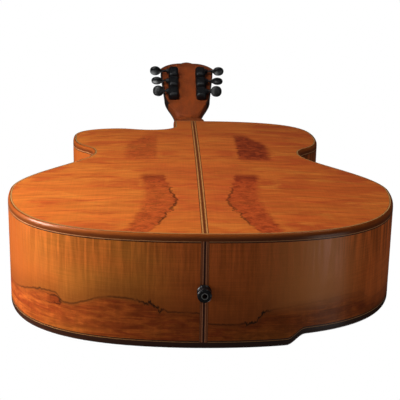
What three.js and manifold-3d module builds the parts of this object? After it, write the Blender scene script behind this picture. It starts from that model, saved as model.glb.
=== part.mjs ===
import * as THREE from 'three';
import Module from 'manifold-3d';
import { mergeVertices } from 'three/addons/utils/BufferGeometryUtils.js';

// Grand auditorium guitar, millimetres.
// +X points to the treble side, -Y out of the soundboard, +Z along the neck to the headstock.
// The nut stands at Z = 0, the outer face of the soundboard at Y = 0.

const wasm = await Module();
wasm.setup();

// Strings and scale
const SCALE_LENGTH = 648;
const FRET_COUNT = 20;
const BODY_FRET = 14;
const OCTAVE_FRETS = 12;
const SADDLE_SETBACK = 2.5;
const NUT_STRING_SPAN = 38;
const SADDLE_STRING_SPAN = 55;
const STRING_DIAMETERS = [1.35, 1.07, 0.81, 0.61, 0.41, 0.3];
const STRING_ABOVE_NUT_BOARD = 1.5;
const STRING_ABOVE_OCTAVE_FRET = 2.2;

// Body outline and depth
const BODY_LENGTH = 508;
const LOWER_BOUT = 406;
const WAIST = 247;
const UPPER_BOUT = 310;
const DEPTH_AT_TAIL = 117;
const DEPTH_AT_NECK = 101;
const BACK_RADIUS = 4572;
const BACK_APEX_HEIGHT = 220;
const SHOULDER_FLAT = 28;
const SCOOP_WALL_OUT = 27;

// Heights of the outline's points above the tail, as shares of the body's length
const LOWER_BOUT_SHARE = 0.304;
const WAIST_SHARE = 0.5925;
const UPPER_BOUT_SHARE = 0.797;

// Heights in the cutaway, below the neck joint
const HORN_BELOW_JOINT = 58;
const SCOOP_BELOW_JOINT = 70;
const SCOOP_END_BELOW_JOINT = 47;

// Places across the cutaway, as shares of half the upper bout
const HORN_OUT_SHARE = 0.67;
const SCOOP_OUT_SHARE = 0.355;

// Handle lengths of the outline curves, as shares of the width or height that each curve covers
const TAIL_SHARES = [0.73, 0.65];
const LOWER_FLANK_SHARES = [0.4, 0.3];
const UPPER_FLANK_SHARES = [0.4, 0.78];
const SHOULDER_SHARES = [0.76, 0.76];
const HORN_SHARES = [0.72, 0.55];
const SCOOP_SHARES = [0.45, 0.45];
const SCOOP_WALL_SHARES = [0.5, 0.6];

// Plates, sides and trim
const GLUE_GAP = 0.3;
const BACK_THICKNESS = 2.8;
const TOP_THICKNESS = 2.8;
const SIDE_THICKNESS = 2.2;
const BINDING_WIDTH = 2.3;
const BINDING_HEIGHT = 6.5;
const LINING_WIDTH = 6;
const LINING_HEIGHT = 15;
const STRIP_WIDTH = 5;
const GRAFT_WIDTH = 8;
const SOUNDHOLE_RADIUS = 51;
const SOUNDHOLE_BELOW_JOINT = 143;
const BEVEL_DEPTH = 10.5;
const BEVEL_WIDTH = 34;
const BEVEL_START_SHARE = 0.404;
const BEVEL_FULL_SHARE = 0.493;
const BEVEL_FADE_SHARES = [0.1, 0.73];
const BEVEL_LEAST_SHARE = 0.12;

// Blocks and braces
const TAIL_BLOCK_WIDTH = 70;
const TAIL_BLOCK_LENGTH = 22;
const NECK_BLOCK_LEFT = 31;
const BRACE_WIDTH = 8;
const BRACE_HEIGHT = 15;
const BRACE_TIP = 4;
const BRACE_TIP_SHARE = 0.14;
// How much further the lining reaches across than straight in from a slanted side
const ROOM_STRETCH = 1.7;
const X_CROSS_SHARE = 0.7;
const X_UPPER_SHARE = 0.735;
const X_LOWER_SHARE = 0.75;
const X_SLOPE_SHARE = 0.87;
const TONE_BAR_WIDTH = 6.5;
const TONE_BAR_HEIGHT = 12;
// Each tone bar's ends: across as a share of half the lower bout, up as a share of the plate's low edge
const TONE_BAR_SHARES = {
  upper: [[0.256, 0.945], [-0.49, 0.624]],
  lower: [[0.394, 0.785], [-0.286, 0.484]],
};
const TRANSVERSE_WIDTH = 7;
const TRANSVERSE_GAP = 3;
const PLATE_CLEARANCE = 9;
const PLATE_BELOW_SADDLE = 31;
const PLATE_ABOVE_SADDLE = 4;
const PLATE_THICKNESS = 2.4;
// Heights of the back braces, as shares of the body's length
const BACK_BRACE_SHARES = { lower: 0.187, middle: 0.413, upper: 0.732 };

// Bridge and saddle
const BRIDGE_LENGTH = 156;
const BRIDGE_BELLY_LENGTH = 92;
const BRIDGE_WIDTH = 33;
const BRIDGE_WING_WIDTH = 24;
const BRIDGE_HEIGHT = 10.5;
const BRIDGE_ABOVE_SADDLE = 9;
const SADDLE_LENGTH = 72;
const SADDLE_THICKNESS = 3.2;
const SADDLE_IN_SLOT = 6;
const STRING_HOLE_RADIUS = 1.3;
const STRING_HOLE_BEHIND_SADDLE = 12;
const STRING_HOLE_DEPTH = 6;

// Neck, fretboard and nut
const NUT_WIDTH = 44.5;
const BOARD_END_WIDTH = 57.5;
const BOARD_THICKNESS = 6.5;
const NUT_THICKNESS = 5;
const NUT_SETBACK_Y = 5.5;
const FRET_WIDTH = 2.4;
const FRET_HEIGHT = 1.1;
const NECK_DEPTH_AT_NUT = 14.5;
const NECK_DEPTH_AT_HEEL = 17;
const HEEL_WIDTH = 30;
const HEEL_FLAT = 16;
const HEEL_REACH = 84;
const HEEL_CAP_THICKNESS = 2.5;
const ROD_WIDTH = 6;
const ROD_DEPTH = 9;
const ROD_INSET = 12;

// Headstock, in its own tilted frame: Y = 0 on its face, Z from the nut
const HEAD_TILT = THREE.MathUtils.degToRad(17.5);
const HEAD_LENGTH = 192;
const HEAD_BASE_WIDTH = 80;
const HEAD_TOP_WIDTH = 95;
const HEAD_BASE_HEIGHT = 78;
const HEAD_CORNER_DROP = 25;
const HEAD_BUMP_WIDTH = 20;
const HEAD_BUMP_RISE = 4;
const VENEER_THICKNESS = 2;
const HEAD_WOOD = 14;
const COVER_WIDTH = 22;
const COVER_LENGTH = 40;
const COVER_THICKNESS = 1.8;
const COVER_START = 5;

// Tuners
const TUNER_FIRST_HEIGHT = 66;
const TUNER_SPACING = 36;
const POST_OUT = 24;
const POST_RADIUS = 3;
const POST_RISE = 12.5;
const WORM_OFFSET = 9;
const WORM_RADIUS = 2.8;
const SHAFT_RADIUS = 2;
const SHAFT_RISE = 6.3;
const RUNNING_GAP = 0.35;
const HOUSING_WIDTH = 18;
const HOUSING_LENGTH = 29;
const HOUSING_RISE = 12.6;
const HOUSING_WALL = 2.6;
const HOUSING_ABOVE_POST = 3;
const BUSHING_RADIUS = 4.8;
const COLLAR_RADIUS = 7;
const COLLAR_THICKNESS = 2.6;
const BUTTON_LENGTH = 19;
const BUTTON_WIDTH = 20;
const BUTTON_THICKNESS = 9;
const BUTTON_EDGE_GAP = 1.5;
const BUTTON_TURNS = [2.5, 3.2, 1.2, 1.28, 1.05, 2.55];
const WINDING_TURNS = 2.5;
const WINDING_STEPS = 16;
const WINDING_SIDES = 6;
const WINDING_CLEARANCE = 0.6;

// End pin jack
const JACK_RADIUS = 7;
const JACK_WAIST_RADIUS = 4.9;
const JACK_BARREL_RADIUS = 6;
const JACK_HOLE_RADIUS = 3.3;
const JACK_RISE = 13;
const JACK_FLANGE = 3;
const JACK_REACH = 58;
const JACK_SOCKET_DEPTH = 32;
const JACK_HEIGHT_Y = 60;
const JACK_CLEARANCE = 0.4;

const OVERRUN = 5;

// Places that follow from the sizes
const fretDistance = (n) => SCALE_LENGTH * (1 - 2 ** (-n / OCTAVE_FRETS));
const JOINT_Z = -fretDistance(BODY_FRET);
const TAIL_Z = JOINT_Z - BODY_LENGTH;
const SADDLE_Z = -(SCALE_LENGTH + SADDLE_SETBACK);
const BOARD_END_Z = -fretDistance(FRET_COUNT) - FRET_WIDTH * 3;
const EDGE_INSET = BINDING_WIDTH + GLUE_GAP;
const LOWER_BOUT_HEIGHT = BODY_LENGTH * LOWER_BOUT_SHARE;
const WAIST_HEIGHT = BODY_LENGTH * WAIST_SHARE;
const UPPER_BOUT_HEIGHT = BODY_LENGTH * UPPER_BOUT_SHARE;
const HORN_HEIGHT = BODY_LENGTH - HORN_BELOW_JOINT;
const SCOOP_HEIGHT = BODY_LENGTH - SCOOP_BELOW_JOINT;
const SCOOP_END_HEIGHT = BODY_LENGTH - SCOOP_END_BELOW_JOINT;
const HORN_OUT = (UPPER_BOUT / 2) * HORN_OUT_SHARE;
const SCOOP_OUT = (UPPER_BOUT / 2) * SCOOP_OUT_SHARE;
const SADDLE_HEIGHT = SADDLE_Z - TAIL_Z;
const SOUNDHOLE_HEIGHT = BODY_LENGTH - SOUNDHOLE_BELOW_JOINT;
const neckY = (z) => (NUT_SETBACK_Y * (z - JOINT_Z)) / -JOINT_Z;
const boardY = (z) => neckY(z) - BOARD_THICKNESS;

// Materials
const paint = (color, roughness, metalness = 0) =>
  new THREE.MeshStandardMaterial({ color, roughness, metalness });
const maple = paint(0xb5642a, 0.3);
const spruce = paint(0xe0c08c, 0.55);
const mahogany = paint(0x8a4322, 0.4);
const ebony = paint(0x1c1613, 0.45);
const bindingWood = paint(0x5e2c1a, 0.25);
const bone = paint(0xe8e0c8, 0.4);
const blackMetal = paint(0x101112, 0.35, 0.6);
const steel = paint(0xb8babd, 0.3, 1);
const bronze = paint(0xb98a4a, 0.35, 1);

const guitar = new THREE.Group();

function addPart(name, geometry, material, parent = guitar) {
  const mesh = new THREE.Mesh(geometry, material);
  mesh.name = name;
  parent.add(mesh);
  return mesh;
}

// A closed skin over a row of sections with the same number of points
function loft(sections, closed = false) {
  const count = sections[0].length;
  const position = sections.flat().flatMap((p) => [p.x, p.y, p.z]);
  const index = [];
  const rows = closed ? sections.length : sections.length - 1;
  for (let row = 0; row < rows; row += 1) {
    const next = (row + 1) % sections.length;
    for (let k = 0; k < count; k += 1) {
      const a = row * count + k;
      const b = row * count + ((k + 1) % count);
      const c = next * count + ((k + 1) % count);
      const d = next * count + k;
      index.push(a, b, c, a, c, d);
    }
  }
  if (!closed) {
    const last = (sections.length - 1) * count;
    for (let k = 1; k < count - 1; k += 1) {
      index.push(0, k + 1, k, last, last + k, last + k + 1);
    }
  }
  const geometry = new THREE.BufferGeometry();
  geometry.setAttribute('position', new THREE.Float32BufferAttribute(position, 3));
  geometry.setIndex(volumeOf(position, index) < 0 ? index.reverse() : index);
  return geometry;
}

function volumeOf(position, index) {
  const point = (i) => new THREE.Vector3().fromArray(position, i * 3);
  let volume = 0;
  for (let i = 0; i < index.length; i += 3) {
    const [a, b, c] = [0, 1, 2].map((k) => point(index[i + k]));
    volume += a.dot(b.cross(c));
  }
  return volume;
}

// Solids for cutting and joining
function solid(geometry) {
  const plain = geometry.clone();
  plain.deleteAttribute('normal');
  plain.deleteAttribute('uv');
  const merged = mergeVertices(plain);
  const mesh = new wasm.Mesh({
    numProp: 3,
    vertProperties: new Float32Array(merged.attributes.position.array),
    triVerts: new Uint32Array(merged.index.array),
  });
  return new wasm.Manifold(mesh);
}

function shapeOf(body) {
  const mesh = body.getMesh();
  const geometry = new THREE.BufferGeometry();
  geometry.setAttribute('position', new THREE.Float32BufferAttribute(mesh.vertProperties, 3));
  geometry.setIndex(Array.from(mesh.triVerts));
  return geometry;
}

const cut = (geometry, ...tools) =>
  shapeOf(tools.reduce((body, tool) => body.subtract(solid(tool)), solid(geometry)));
const join = (geometry, ...others) =>
  shapeOf(others.reduce((body, other) => body.add(solid(other)), solid(geometry)));

function box(low, high) {
  const geometry = new THREE.BoxGeometry(high[0] - low[0], high[1] - low[1], high[2] - low[2]);
  geometry.translate((low[0] + high[0]) / 2, (low[1] + high[1]) / 2, (low[2] + high[2]) / 2);
  return geometry;
}

// A straight round bar along one axis, from low to high on it
function round(axis, radius, low, high, sides, at = [0, 0, 0]) {
  const geometry = new THREE.CylinderGeometry(radius, radius, high - low, sides);
  if (axis === 'x') geometry.rotateZ(-Math.PI / 2);
  if (axis === 'z') geometry.rotateX(Math.PI / 2);
  const middle = (low + high) / 2;
  geometry.translate(
    at[0] + (axis === 'x' ? middle : 0),
    at[1] + (axis === 'y' ? middle : 0),
    at[2] + (axis === 'z' ? middle : 0),
  );
  return geometry;
}

// A flat outline in X and Z, given thickness backwards from the plane Y = front
function plate(shape, front, thickness) {
  const geometry = new THREE.ExtrudeGeometry(shape, { depth: thickness, bevelEnabled: false });
  geometry.rotateX(Math.PI / 2);
  geometry.translate(0, front + thickness, 0);
  return geometry;
}

// Outline of the body, upwards from the tail: x is across, y is the height above the tail
const half = { lower: LOWER_BOUT / 2, waist: WAIST / 2, upper: UPPER_BOUT / 2 };

function sidePath(toHorn) {
  const { lower, waist, upper } = half;
  const toWaist = WAIST_HEIGHT - LOWER_BOUT_HEIGHT;
  const toUpper = UPPER_BOUT_HEIGHT - WAIST_HEIGHT;
  const lowTop = LOWER_BOUT_HEIGHT * (1 - TAIL_SHARES[1]);
  const path = new THREE.Path();
  path.moveTo(0, 0);
  path.bezierCurveTo(lower * TAIL_SHARES[0], 0, lower, lowTop, lower, LOWER_BOUT_HEIGHT);
  path.bezierCurveTo(
    lower, LOWER_BOUT_HEIGHT + toWaist * LOWER_FLANK_SHARES[0],
    waist, WAIST_HEIGHT - toWaist * LOWER_FLANK_SHARES[1], waist, WAIST_HEIGHT,
  );
  path.bezierCurveTo(
    waist, WAIST_HEIGHT + toUpper * UPPER_FLANK_SHARES[0],
    upper, UPPER_BOUT_HEIGHT - toUpper * UPPER_FLANK_SHARES[1], upper, UPPER_BOUT_HEIGHT,
  );
  if (toHorn) {
    const rise = HORN_HEIGHT - UPPER_BOUT_HEIGHT;
    const wall = SCOOP_END_HEIGHT - SCOOP_HEIGHT;
    path.bezierCurveTo(
      upper, UPPER_BOUT_HEIGHT + rise * HORN_SHARES[0],
      HORN_OUT + (upper - HORN_OUT) * HORN_SHARES[1], HORN_HEIGHT, HORN_OUT, HORN_HEIGHT,
    );
    path.bezierCurveTo(
      HORN_OUT - (HORN_OUT - SCOOP_OUT) * SCOOP_SHARES[0], HORN_HEIGHT,
      SCOOP_OUT + (HORN_OUT - SCOOP_OUT) * SCOOP_SHARES[1], SCOOP_HEIGHT, SCOOP_OUT, SCOOP_HEIGHT,
    );
    path.bezierCurveTo(
      SCOOP_OUT - (SCOOP_OUT - SCOOP_WALL_OUT) * SCOOP_WALL_SHARES[0], SCOOP_HEIGHT,
      SCOOP_WALL_OUT, SCOOP_END_HEIGHT - wall * SCOOP_WALL_SHARES[1], SCOOP_WALL_OUT, SCOOP_END_HEIGHT,
    );
    path.lineTo(SCOOP_WALL_OUT, BODY_LENGTH);
  } else {
    const over = upper - SHOULDER_FLAT;
    path.bezierCurveTo(
      upper, UPPER_BOUT_HEIGHT + (BODY_LENGTH - UPPER_BOUT_HEIGHT) * SHOULDER_SHARES[0],
      SHOULDER_FLAT + over * SHOULDER_SHARES[1], BODY_LENGTH, SHOULDER_FLAT, BODY_LENGTH,
    );
  }
  return path.curves;
}

const CURVE_STEPS = { treble: [12, 8, 8, 6, 5, 6, 1], bass: [12, 8, 8, 9] };

function sideStations(side, toHorn, steps) {
  const points = [];
  sidePath(toHorn).forEach((curve, i) => {
    curve.getSpacedPoints(steps[i]).slice(i ? 1 : 0).forEach((p) => {
      points.push(new THREE.Vector2(side * p.x, p.y));
    });
  });
  return points;
}

// One row of stations per side, both from the tail to the middle of the shoulder, with inward normals
function withNormals(points, side) {
  const beforeTail = new THREE.Vector2(-side * GRAFT_WIDTH, 0);
  const fromTail = [beforeTail, ...points, new THREE.Vector2(0, BODY_LENGTH)];
  return points.map((p, i) => {
    const before = p.clone().sub(fromTail[i]).normalize();
    const after = fromTail[i + 2].clone().sub(p).normalize();
    const along = before.clone().add(after).normalize();
    const inward = new THREE.Vector2(-along.y, along.x).multiplyScalar(side);
    return { x: p.x, h: p.y, inward, stretch: 1 / Math.max(along.dot(after), 0.5) };
  });
}

const middleOfShoulder = { x: 0, h: BODY_LENGTH, inward: new THREE.Vector2(0, -1), stretch: 1 };
const treble = withNormals(sideStations(1, true, CURVE_STEPS.treble), 1);
const bass = withNormals(sideStations(-1, false, CURVE_STEPS.bass), -1);
const around = [...treble, ...bass.slice(1).reverse()];

function inset(station, distance) {
  const reach = distance * station.stretch;
  return [station.x + station.inward.x * reach, station.h + station.inward.y * reach];
}

// Height of the back's outer face: a shallow dome on a straight taper
function backY(x, h) {
  const fall = (d) => (d * d) / (2 * BACK_RADIUS);
  const tail = fall(BACK_APEX_HEIGHT);
  const neck = fall(BODY_LENGTH - BACK_APEX_HEIGHT);
  const taper = DEPTH_AT_NECK - DEPTH_AT_TAIL + neck - tail;
  return DEPTH_AT_TAIL + tail - fall(h - BACK_APEX_HEIGHT) - fall(x) + (taper * h) / BODY_LENGTH;
}

// The arm bevel fades in beside the tail and out above the lower bout
function bevelShare(station) {
  const toWaist = WAIST_HEIGHT - LOWER_BOUT_HEIGHT;
  const [fadeLow, fadeHigh] = BEVEL_FADE_SHARES.map((share) => LOWER_BOUT_HEIGHT + toWaist * share);
  const out = -station.x / half.lower;
  if (station.h > fadeHigh) return 0;
  if (station.h < LOWER_BOUT_HEIGHT) {
    return THREE.MathUtils.smoothstep(out, BEVEL_START_SHARE, BEVEL_FULL_SHARE);
  }
  return out > 0 ? 1 - THREE.MathUtils.smoothstep(station.h, fadeLow, fadeHigh) : 0;
}
const bevelY = (station) => BEVEL_DEPTH * bevelShare(station);

// A strip that follows the outline between two insets and two heights
function rim(stations, outer, inner, low, high, closed = false) {
  const sections = stations.map((s) => {
    const [xo, ho] = inset(s, outer);
    const [xi, hi] = inset(s, inner);
    return [
      new THREE.Vector3(xo, low(s, xo, ho), TAIL_Z + ho),
      new THREE.Vector3(xo, high(s, xo, ho), TAIL_Z + ho),
      new THREE.Vector3(xi, high(s, xi, hi), TAIL_Z + hi),
      new THREE.Vector3(xi, low(s, xi, hi), TAIL_Z + hi),
    ];
  });
  return loft(sections, closed);
}

// Sides, meeting at the end graft and under the heel
const jackGap = JACK_BARREL_RADIUS + JACK_CLEARANCE;
const jackHoleTop = TAIL_Z + TAIL_BLOCK_LENGTH + SIDE_THICKNESS + OVERRUN;
const jackHole = round('z', jackGap, TAIL_Z - OVERRUN, jackHoleTop, 16, [0, JACK_HEIGHT_Y, 0]);
const sideLow = (s) => bevelY(s) + BINDING_HEIGHT + GLUE_GAP;
const sideHigh = (s, x, h) => backY(x, h) - BINDING_HEIGHT - GLUE_GAP;
const trimEnds = (row, side) => [
  { ...row[0], x: side * (GRAFT_WIDTH / 2 + GLUE_GAP) },
  ...row.slice(1),
  { ...middleOfShoulder, x: (side * GLUE_GAP) / 2 },
];
const trebleSide = rim(trimEnds(treble, 1), 0, SIDE_THICKNESS, sideLow, sideHigh);
const bassSide = rim(trimEnds(bass, -1), 0, SIDE_THICKNESS, sideLow, sideHigh);
addPart('side_treble', cut(trebleSide, jackHole), maple);
addPart('side_bass', cut(bassSide, jackHole), maple);

const graftLow = sideLow(treble[0]);
const graftHigh = sideHigh(treble[0], 0, SIDE_THICKNESS);
function graft(low, high) {
  return box([-GRAFT_WIDTH / 2, low, TAIL_Z], [GRAFT_WIDTH / 2, high, TAIL_Z + SIDE_THICKNESS]);
}
addPart('end_graft_front', graft(graftLow, JACK_HEIGHT_Y - jackGap), ebony);
addPart('end_graft_back', graft(JACK_HEIGHT_Y + jackGap, graftHigh), ebony);

// Bindings on both edges
const backLine = (s, x, h) => backY(x, h);
const backBindingLow = (s, x, h) => backY(x, h) - BINDING_HEIGHT;
addPart('binding_back', rim(around, 0, BINDING_WIDTH, backBindingLow, backLine, true), bindingWood);
const topBindingHigh = (s) => bevelY(s) + BINDING_HEIGHT;
addPart('binding_top', rim(around, 0, BINDING_WIDTH, bevelY, topBindingHigh, true), bindingWood);

// Linings run from block to block on each side
const liningOuter = SIDE_THICKNESS + GLUE_GAP;
const liningInner = liningOuter + LINING_WIDTH;
const clearOfTail = (s) => Math.abs(s.x) > TAIL_BLOCK_WIDTH / 2 + LINING_WIDTH || s.h > WAIST_HEIGHT;
const clearOfWall = (s) => s.x > SCOOP_WALL_OUT + LINING_WIDTH || s.h < SCOOP_HEIGHT;
const liningRows = {
  treble: treble.filter((s) => clearOfTail(s) && clearOfWall(s)),
  bass: bass.filter((s) => clearOfTail(s) && s.x < -NECK_BLOCK_LEFT - GLUE_GAP),
};
const backUnder = (s, x, h) => backY(x, h) - BACK_THICKNESS - GLUE_GAP;
const backLiningLow = (s, x, h) => backUnder(s, x, h) - LINING_HEIGHT;
const topUnder = (s) => bevelY(s) + TOP_THICKNESS + GLUE_GAP;
const topLiningHigh = (s) => topUnder(s) + LINING_HEIGHT;
Object.entries(liningRows).forEach(([side, row]) => {
  addPart(`lining_back_${side}`, rim(row, liningOuter, liningInner, backLiningLow, backUnder), spruce);
  addPart(`lining_top_${side}`, rim(row, liningOuter, liningInner, topUnder, topLiningHigh), spruce);
});

// Soundboard, drawn inside the binding and behind the bevel
const topEdge = around.map((s) => inset(s, EDGE_INSET + BEVEL_WIDTH * bevelShare(s)));
const topShape = new THREE.Shape(topEdge.map(([x, h]) => new THREE.Vector2(x, TAIL_Z + h)));
const hole = new THREE.Path();
hole.absarc(0, TAIL_Z + SOUNDHOLE_HEIGHT, SOUNDHOLE_RADIUS, 0, Math.PI * 2);
topShape.holes.push(hole);
const topBoard = new THREE.ExtrudeGeometry(topShape, {
  depth: TOP_THICKNESS, bevelEnabled: false, curveSegments: 20,
});
topBoard.rotateX(Math.PI / 2);
topBoard.translate(0, TOP_THICKNESS, 0);
addPart('soundboard', topBoard, spruce);

// Arm bevel: a sloping skin from the lowered edge to the soundboard
const bevelRow = bass.filter((s) => bevelShare(s) > BEVEL_LEAST_SHARE);
const bevelSections = bevelRow.map((s) => {
  const [xo, ho] = inset(s, EDGE_INSET);
  const [xi, hi] = inset(s, EDGE_INSET + BEVEL_WIDTH * bevelShare(s) - GLUE_GAP);
  const low = bevelY(s);
  return [
    new THREE.Vector3(xo, low, TAIL_Z + ho),
    new THREE.Vector3(xo, low + TOP_THICKNESS, TAIL_Z + ho),
    new THREE.Vector3(xi, TOP_THICKNESS, TAIL_Z + hi),
    new THREE.Vector3(xi, 0, TAIL_Z + hi),
  ];
});
addPart('arm_bevel', loft(bevelSections), ebony);

// Back plates: a domed slab cut to each half of the outline
function domedSlab(low, high, columns, rows) {
  const sections = [];
  for (let row = 0; row <= rows; row += 1) {
    const h = -OVERRUN + ((BODY_LENGTH + OVERRUN * 2) * row) / rows;
    const outer = [];
    const inner = [];
    for (let column = 0; column <= columns; column += 1) {
      const x = low + ((high - low) * column) / columns;
      outer.push(new THREE.Vector3(x, backY(x, h), TAIL_Z + h));
      inner.unshift(new THREE.Vector3(x, backY(x, h) - BACK_THICKNESS, TAIL_Z + h));
    }
    sections.push([...outer, ...inner]);
  }
  return loft(sections);
}

function halfBack(row, side) {
  const edge = row.map((s) => inset(s, EDGE_INSET)).filter(([x]) => side * x > STRIP_WIDTH);
  const middle = side * (STRIP_WIDTH / 2 + GLUE_GAP);
  const points = [[middle, EDGE_INSET], ...edge, [middle, BODY_LENGTH - EDGE_INSET]];
  const shape = new THREE.Shape(points.map(([x, h]) => new THREE.Vector2(x, TAIL_Z + h)));
  const prism = plate(shape, DEPTH_AT_NECK / 2, DEPTH_AT_TAIL);
  const reach = side * (LOWER_BOUT / 2 + OVERRUN);
  const slab = domedSlab(Math.min(0, reach), Math.max(0, reach), 4, 10);
  return shapeOf(solid(slab).intersect(solid(prism)));
}
addPart('back_treble', halfBack(treble, 1), maple);
addPart('back_bass', halfBack(bass, -1), maple);

const stripSections = [];
const STRIP_STEPS = 16;
for (let i = 0; i <= STRIP_STEPS; i += 1) {
  const h = EDGE_INSET + ((BODY_LENGTH - EDGE_INSET * 2) * i) / STRIP_STEPS;
  const outer = backY(0, h);
  stripSections.push(
    [[-1, 0], [1, 0], [1, BACK_THICKNESS], [-1, BACK_THICKNESS]].map(
      ([side, depth]) => new THREE.Vector3((side * STRIP_WIDTH) / 2, outer - depth, TAIL_Z + h),
    ),
  );
}
addPart('back_center_strip', loft(stripSections), ebony);

// Blocks at both ends of the body
function block(left, right, low, high) {
  const corner = (x, h) => [
    new THREE.Vector3(x, TOP_THICKNESS + GLUE_GAP, TAIL_Z + h),
    new THREE.Vector3(x, backUnder(null, x, h) - GLUE_GAP, TAIL_Z + h),
  ];
  const section = (h) => [...corner(left, h), ...corner(right, h).reverse()];
  return loft([section(low), section(high)]);
}
const tailFace = SIDE_THICKNESS + GLUE_GAP;
const tailBlock = block(
  -TAIL_BLOCK_WIDTH / 2, TAIL_BLOCK_WIDTH / 2, TAIL_BLOCK_WIDTH ** 2 / (LOWER_BOUT * 8) + tailFace,
  TAIL_BLOCK_LENGTH + tailFace,
);
addPart('tail_block', cut(tailBlock, jackHole), mahogany);
const neckBlockRight = SCOOP_WALL_OUT - SIDE_THICKNESS - GLUE_GAP;
const neckBlockTop = BODY_LENGTH - SIDE_THICKNESS - GLUE_GAP;
const neckBlock = block(-NECK_BLOCK_LEFT, neckBlockRight, SCOOP_END_HEIGHT, neckBlockTop);
addPart('neck_block', neckBlock, mahogany);

// A brace under the soundboard between two places, thinner at its tips
function topBrace(from, to, width, height) {
  const start = new THREE.Vector2(...from);
  const along = new THREE.Vector2(...to).sub(start);
  const across = new THREE.Vector2(-along.y, along.x).normalize().multiplyScalar(width / 2);
  const front = TOP_THICKNESS + GLUE_GAP;
  const scallop = [[0, BRACE_TIP], [BRACE_TIP_SHARE, height], [1 - BRACE_TIP_SHARE, height], [1, BRACE_TIP]];
  return loft(scallop.map(([share, depth]) => {
    const p = start.clone().addScaledVector(along, share);
    return [[-1, 0], [1, 0], [1, depth], [-1, depth]].map(([side, y]) => new THREE.Vector3(
      p.x + across.x * side, front + y, TAIL_Z + p.y + across.y * side,
    ));
  }));
}

// Crossed braces, halved into each other where they meet
const crossAngle = Math.atan(X_SLOPE_SHARE);
const soundholeFoot = SOUNDHOLE_HEIGHT - SOUNDHOLE_RADIUS;
const crossHeight = SADDLE_HEIGHT + (soundholeFoot - SADDLE_HEIGHT) * X_CROSS_SHARE;
function crossBrace(side) {
  const upperOut = half.upper * X_UPPER_SHARE;
  const lowerOut = half.lower * X_LOWER_SHARE;
  const upper = [side * upperOut, crossHeight + upperOut * X_SLOPE_SHARE];
  const lower = [-side * lowerOut, crossHeight - lowerOut * X_SLOPE_SHARE];
  return topBrace(lower, upper, BRACE_WIDTH, BRACE_HEIGHT);
}
function crossNotch(side, low, high) {
  const reach = BRACE_WIDTH * 2;
  const halfGap = BRACE_WIDTH / 2 + GLUE_GAP;
  const notch = box([-reach, low, -halfGap], [reach, high, halfGap]);
  notch.rotateY(-side * crossAngle);
  notch.translate(0, 0, TAIL_Z + crossHeight);
  return notch;
}
const lapY = TOP_THICKNESS + BRACE_HEIGHT / 2;
const braceBackY = TOP_THICKNESS + BRACE_HEIGHT + OVERRUN;
addPart('x_brace_treble', cut(crossBrace(1), crossNotch(-1, lapY, braceBackY)), spruce);
addPart('x_brace_bass', cut(crossBrace(-1), crossNotch(1, 0, lapY + GLUE_GAP)), spruce);
// Half the room between the linings at a height, the narrower of both sides
function roomAt(height) {
  return Math.min(...[treble, bass].map((row) => {
    const i = row.findIndex((s, k) => k > 0 && row[k - 1].h <= height && s.h > height);
    const share = (height - row[i - 1].h) / (row[i].h - row[i - 1].h);
    return Math.abs(row[i - 1].x + (row[i].x - row[i - 1].x) * share) - liningInner * ROOM_STRETCH;
  }));
}
const transverseHeight = SOUNDHOLE_HEIGHT + SOUNDHOLE_RADIUS + TRANSVERSE_GAP + TRANSVERSE_WIDTH / 2;
const transverseOut = roomAt(transverseHeight);
const transverse = [[-transverseOut, transverseHeight], [transverseOut, transverseHeight]];
addPart('transverse_brace', topBrace(...transverse, TRANSVERSE_WIDTH, BRACE_HEIGHT), spruce);
const plateLowHeight = SADDLE_HEIGHT - PLATE_BELOW_SADDLE;
Object.entries(TONE_BAR_SHARES).forEach(([place, ends]) => {
  const [from, to] = ends.map(([across, up]) => [across * half.lower, up * plateLowHeight]);
  addPart(`tone_bar_${place}`, topBrace(from, to, TONE_BAR_WIDTH, TONE_BAR_HEIGHT), spruce);
});

// Braces across the back follow its dome
Object.entries(BACK_BRACE_SHARES).forEach(([place, up]) => {
  const height = up * BODY_LENGTH;
  const out = roomAt(height);
  const shares = [-1, -0.8, -0.4, 0, 0.4, 0.8, 1];
  addPart(`back_brace_${place}`, loft(shares.map((share) => {
    const depth = Math.abs(share) === 1 ? BRACE_TIP : BRACE_HEIGHT;
    const corner = (across, inner) => {
      const h = height + (across * BRACE_WIDTH) / 2;
      const y = backUnder(null, share * out, height + BRACE_WIDTH / 2) - GLUE_GAP - inner;
      return new THREE.Vector3(share * out, y, TAIL_Z + h);
    };
    return [corner(-1, 0), corner(1, 0), corner(1, depth), corner(-1, depth)];
  })), spruce);
});

// Bridge with a belly, saddle slot and blind string holes behind the saddle
const bridgeTopZ = SADDLE_Z + BRIDGE_ABOVE_SADDLE;
const bridgeShape = new THREE.Shape();
const wing = BRIDGE_LENGTH / 2;
const belly = BRIDGE_BELLY_LENGTH / 2;
const wingLowZ = bridgeTopZ - BRIDGE_WING_WIDTH;
bridgeShape.moveTo(-wing, bridgeTopZ);
bridgeShape.lineTo(-wing, wingLowZ);
bridgeShape.lineTo(-belly, wingLowZ);
bridgeShape.quadraticCurveTo(0, wingLowZ - (BRIDGE_WIDTH - BRIDGE_WING_WIDTH) * 2, belly, wingLowZ);
bridgeShape.lineTo(wing, wingLowZ);
bridgeShape.lineTo(wing, bridgeTopZ);
const bridgeBody = plate(bridgeShape, -BRIDGE_HEIGHT - GLUE_GAP, BRIDGE_HEIGHT);
const bridgeFaceY = -BRIDGE_HEIGHT - GLUE_GAP;
const slotBottomY = bridgeFaceY + SADDLE_IN_SLOT;
const slotHalf = SADDLE_THICKNESS / 2 + GLUE_GAP;
const saddleSlot = box(
  [-SADDLE_LENGTH / 2 - GLUE_GAP, bridgeFaceY - OVERRUN, SADDLE_Z - slotHalf],
  [SADDLE_LENGTH / 2 + GLUE_GAP, slotBottomY, SADDLE_Z + slotHalf],
);

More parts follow.
